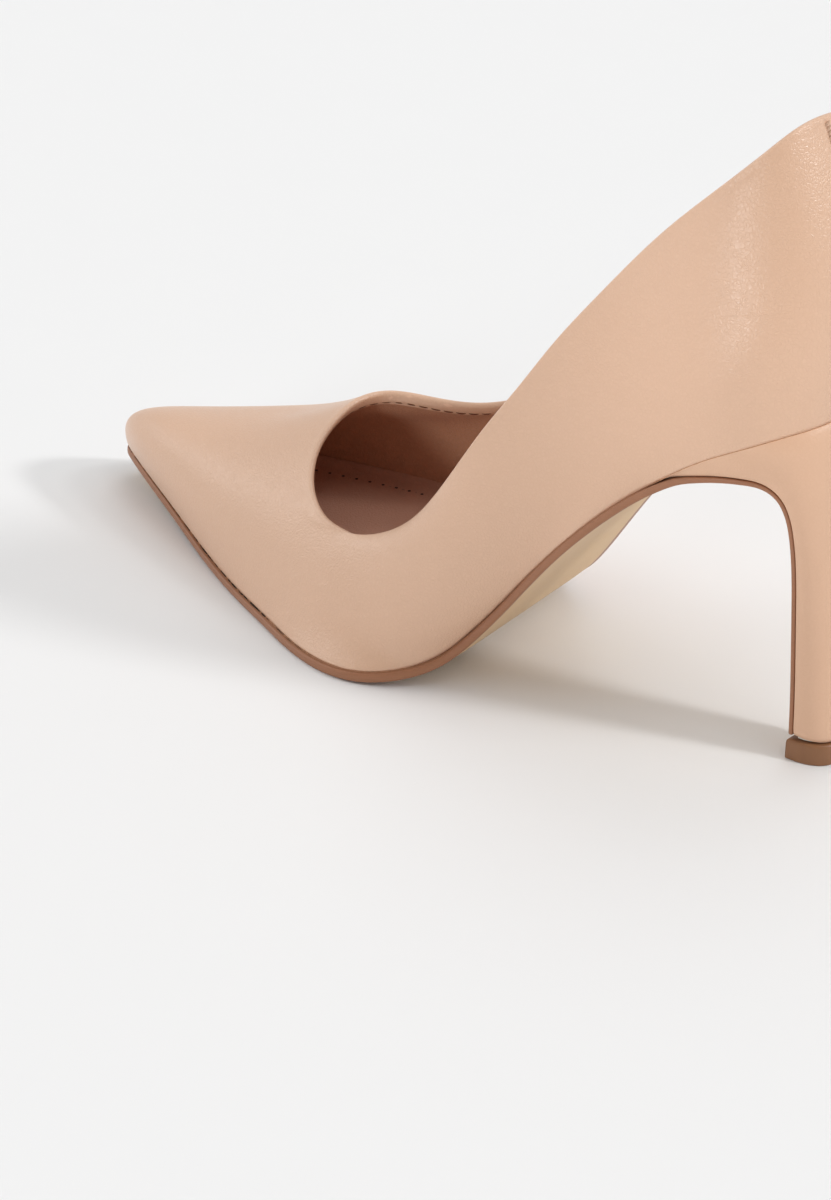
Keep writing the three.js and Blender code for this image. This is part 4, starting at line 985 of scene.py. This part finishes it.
# ---- stage, light, camera --------------------------------------------------------------
fl = bpy.data.meshes.new("studio_floor")
R = 6.0
fl.from_pydata([(-R, -R, 0), (R, -R, 0), (R, R, 0), (-R, R, 0)], [], [(0, 1, 2, 3)])
floor = bpy.data.objects.new("studio_floor", fl)
fm = Mat("studio_floor_paper", rough=0.95, spec=0.0)
fm.colour(fm.mix(fm.noise(30, 2.0), (0.858, 0.858, 0.858, 1), (0.866, 0.866, 0.866, 1)))
fl.materials.append(fm.m)
bpy.context.scene.collection.objects.link(floor)

world = bpy.data.worlds.new("studio")
bpy.context.scene.world = world
world.use_nodes = True
bg = world.node_tree.nodes["Background"]
bg.inputs["Color"].default_value = (1, 1, 1, 1)
# an even white room, dimmer towards the dark side where the photographer stands
wt = world.node_tree
direction = wt.nodes.new("ShaderNodeTexCoord")
dark = wt.nodes.new("ShaderNodeVectorMath")
dark.operation = "DOT_PRODUCT"
dark.inputs[1].default_value = (math.cos(math.radians(122)), math.sin(math.radians(122)), 0.0)
wt.links.new(direction.outputs["Generated"], dark.inputs[0])
fall = wt.nodes.new("ShaderNodeMapRange")
fall.interpolation_type = "SMOOTHSTEP"
fall.inputs["From Min"].default_value = 0.15
fall.inputs["From Max"].default_value = 1.0
fall.inputs["To Min"].default_value = 0.62
fall.inputs["To Max"].default_value = 0.16
wt.links.new(dark.outputs["Value"], fall.inputs["Value"])
wt.links.new(fall.outputs["Result"], bg.inputs["Strength"])

# name, azimuth and elevation towards the light in degrees, strength, angular size in degrees
for name, az, el, power, size in (("key_low", -162, 33, 1.02, 7), ("key_high", -160, 48, 0.26, 10), ("back_left", 172, 62, 0.22, 20),
                                  ("side_box", 92, 10, 0.56, 14), ("front_box", 22, 28, 0.46, 34), ("far_box", -66, 60, 0.36, 40)):
    li = bpy.data.lights.new(name, "SUN")
    li.energy = power
    li.angle = math.radians(size)
    ob = bpy.data.objects.new(name, li)
    az_, el_ = math.radians(az), math.radians(el)
    ob.rotation_mode = "QUATERNION"
    ob.rotation_quaternion = Vector((math.cos(az_) * math.cos(el_), math.sin(az_) * math.cos(el_), math.sin(el_))).to_track_quat("Z", "Y")
    ob.visible_glossy = name != "side_box"  # the low lamp only fills; the small one below it gives the gloss
    bpy.context.scene.collection.objects.link(ob)

# a small gridded lamp beside the low one, which reaches only the rear quarter
spot = bpy.data.lights.new("side_spot", "SPOT")
spot.energy = 2.9
spot.spot_size = math.radians(15)
spot.spot_blend = 1.0
spot.shadow_soft_size = 0.042
sp = bpy.data.objects.new("side_spot", spot)
away = Vector((math.cos(math.radians(86)) * math.cos(math.radians(6)), math.sin(math.radians(86)) * math.cos(math.radians(6)), math.sin(math.radians(6))))
sp.location = Vector((-0.088, 0.025, 0.098)) + away * 0.6
sp.rotation_mode = "QUATERNION"
sp.rotation_quaternion = away.to_track_quat("Z", "Y")
bpy.context.scene.collection.objects.link(sp)

YAW, PITCH, ROLL, FPX = -0.8518106407705772, 0.49035288677369937, 0.005933135850295143, 4034.006504301293
PX, PY = 417.560796201726, 597.6808030599482
fwd = np.array([math.cos(YAW) * math.cos(PITCH), math.sin(YAW) * math.cos(PITCH), -math.sin(PITCH)])
right = np.array([math.sin(YAW), -math.cos(YAW), 0.0])
upv = np.cross(right, fwd)
r2 = right * math.cos(ROLL) + upv * math.sin(ROLL)
u2 = -right * math.sin(ROLL) + upv * math.cos(ROLL)
cd = bpy.data.cameras.new("camera")
cd.sensor_width = 36.0
cd.sensor_fit = "AUTO"
cd.lens = FPX / 1200 * 36.0
cd.shift_x = (415.5 - PX) / 1200
cd.shift_y = (PY - 600.0) / 1200
cd.clip_start, cd.clip_end = 0.05, 50
cam = bpy.data.objects.new("camera", cd)
pos = (np.array([-638.2697583489629, 624.1064592800287, 439.6530262539669]) + ORIGIN) / 1000
M4 = Matrix([[r2[0], u2[0], -fwd[0], pos[0]], [r2[1], u2[1], -fwd[1], pos[1]], [r2[2], u2[2], -fwd[2], pos[2]], [0, 0, 0, 1]])
cam.matrix_world = M4
bpy.context.scene.collection.objects.link(cam)
bpy.context.scene.camera = cam
bpy.context.scene.view_settings.view_transform = "Standard"
bpy.context.scene.view_settings.look = "None"

bpy.context.view_layer.update()
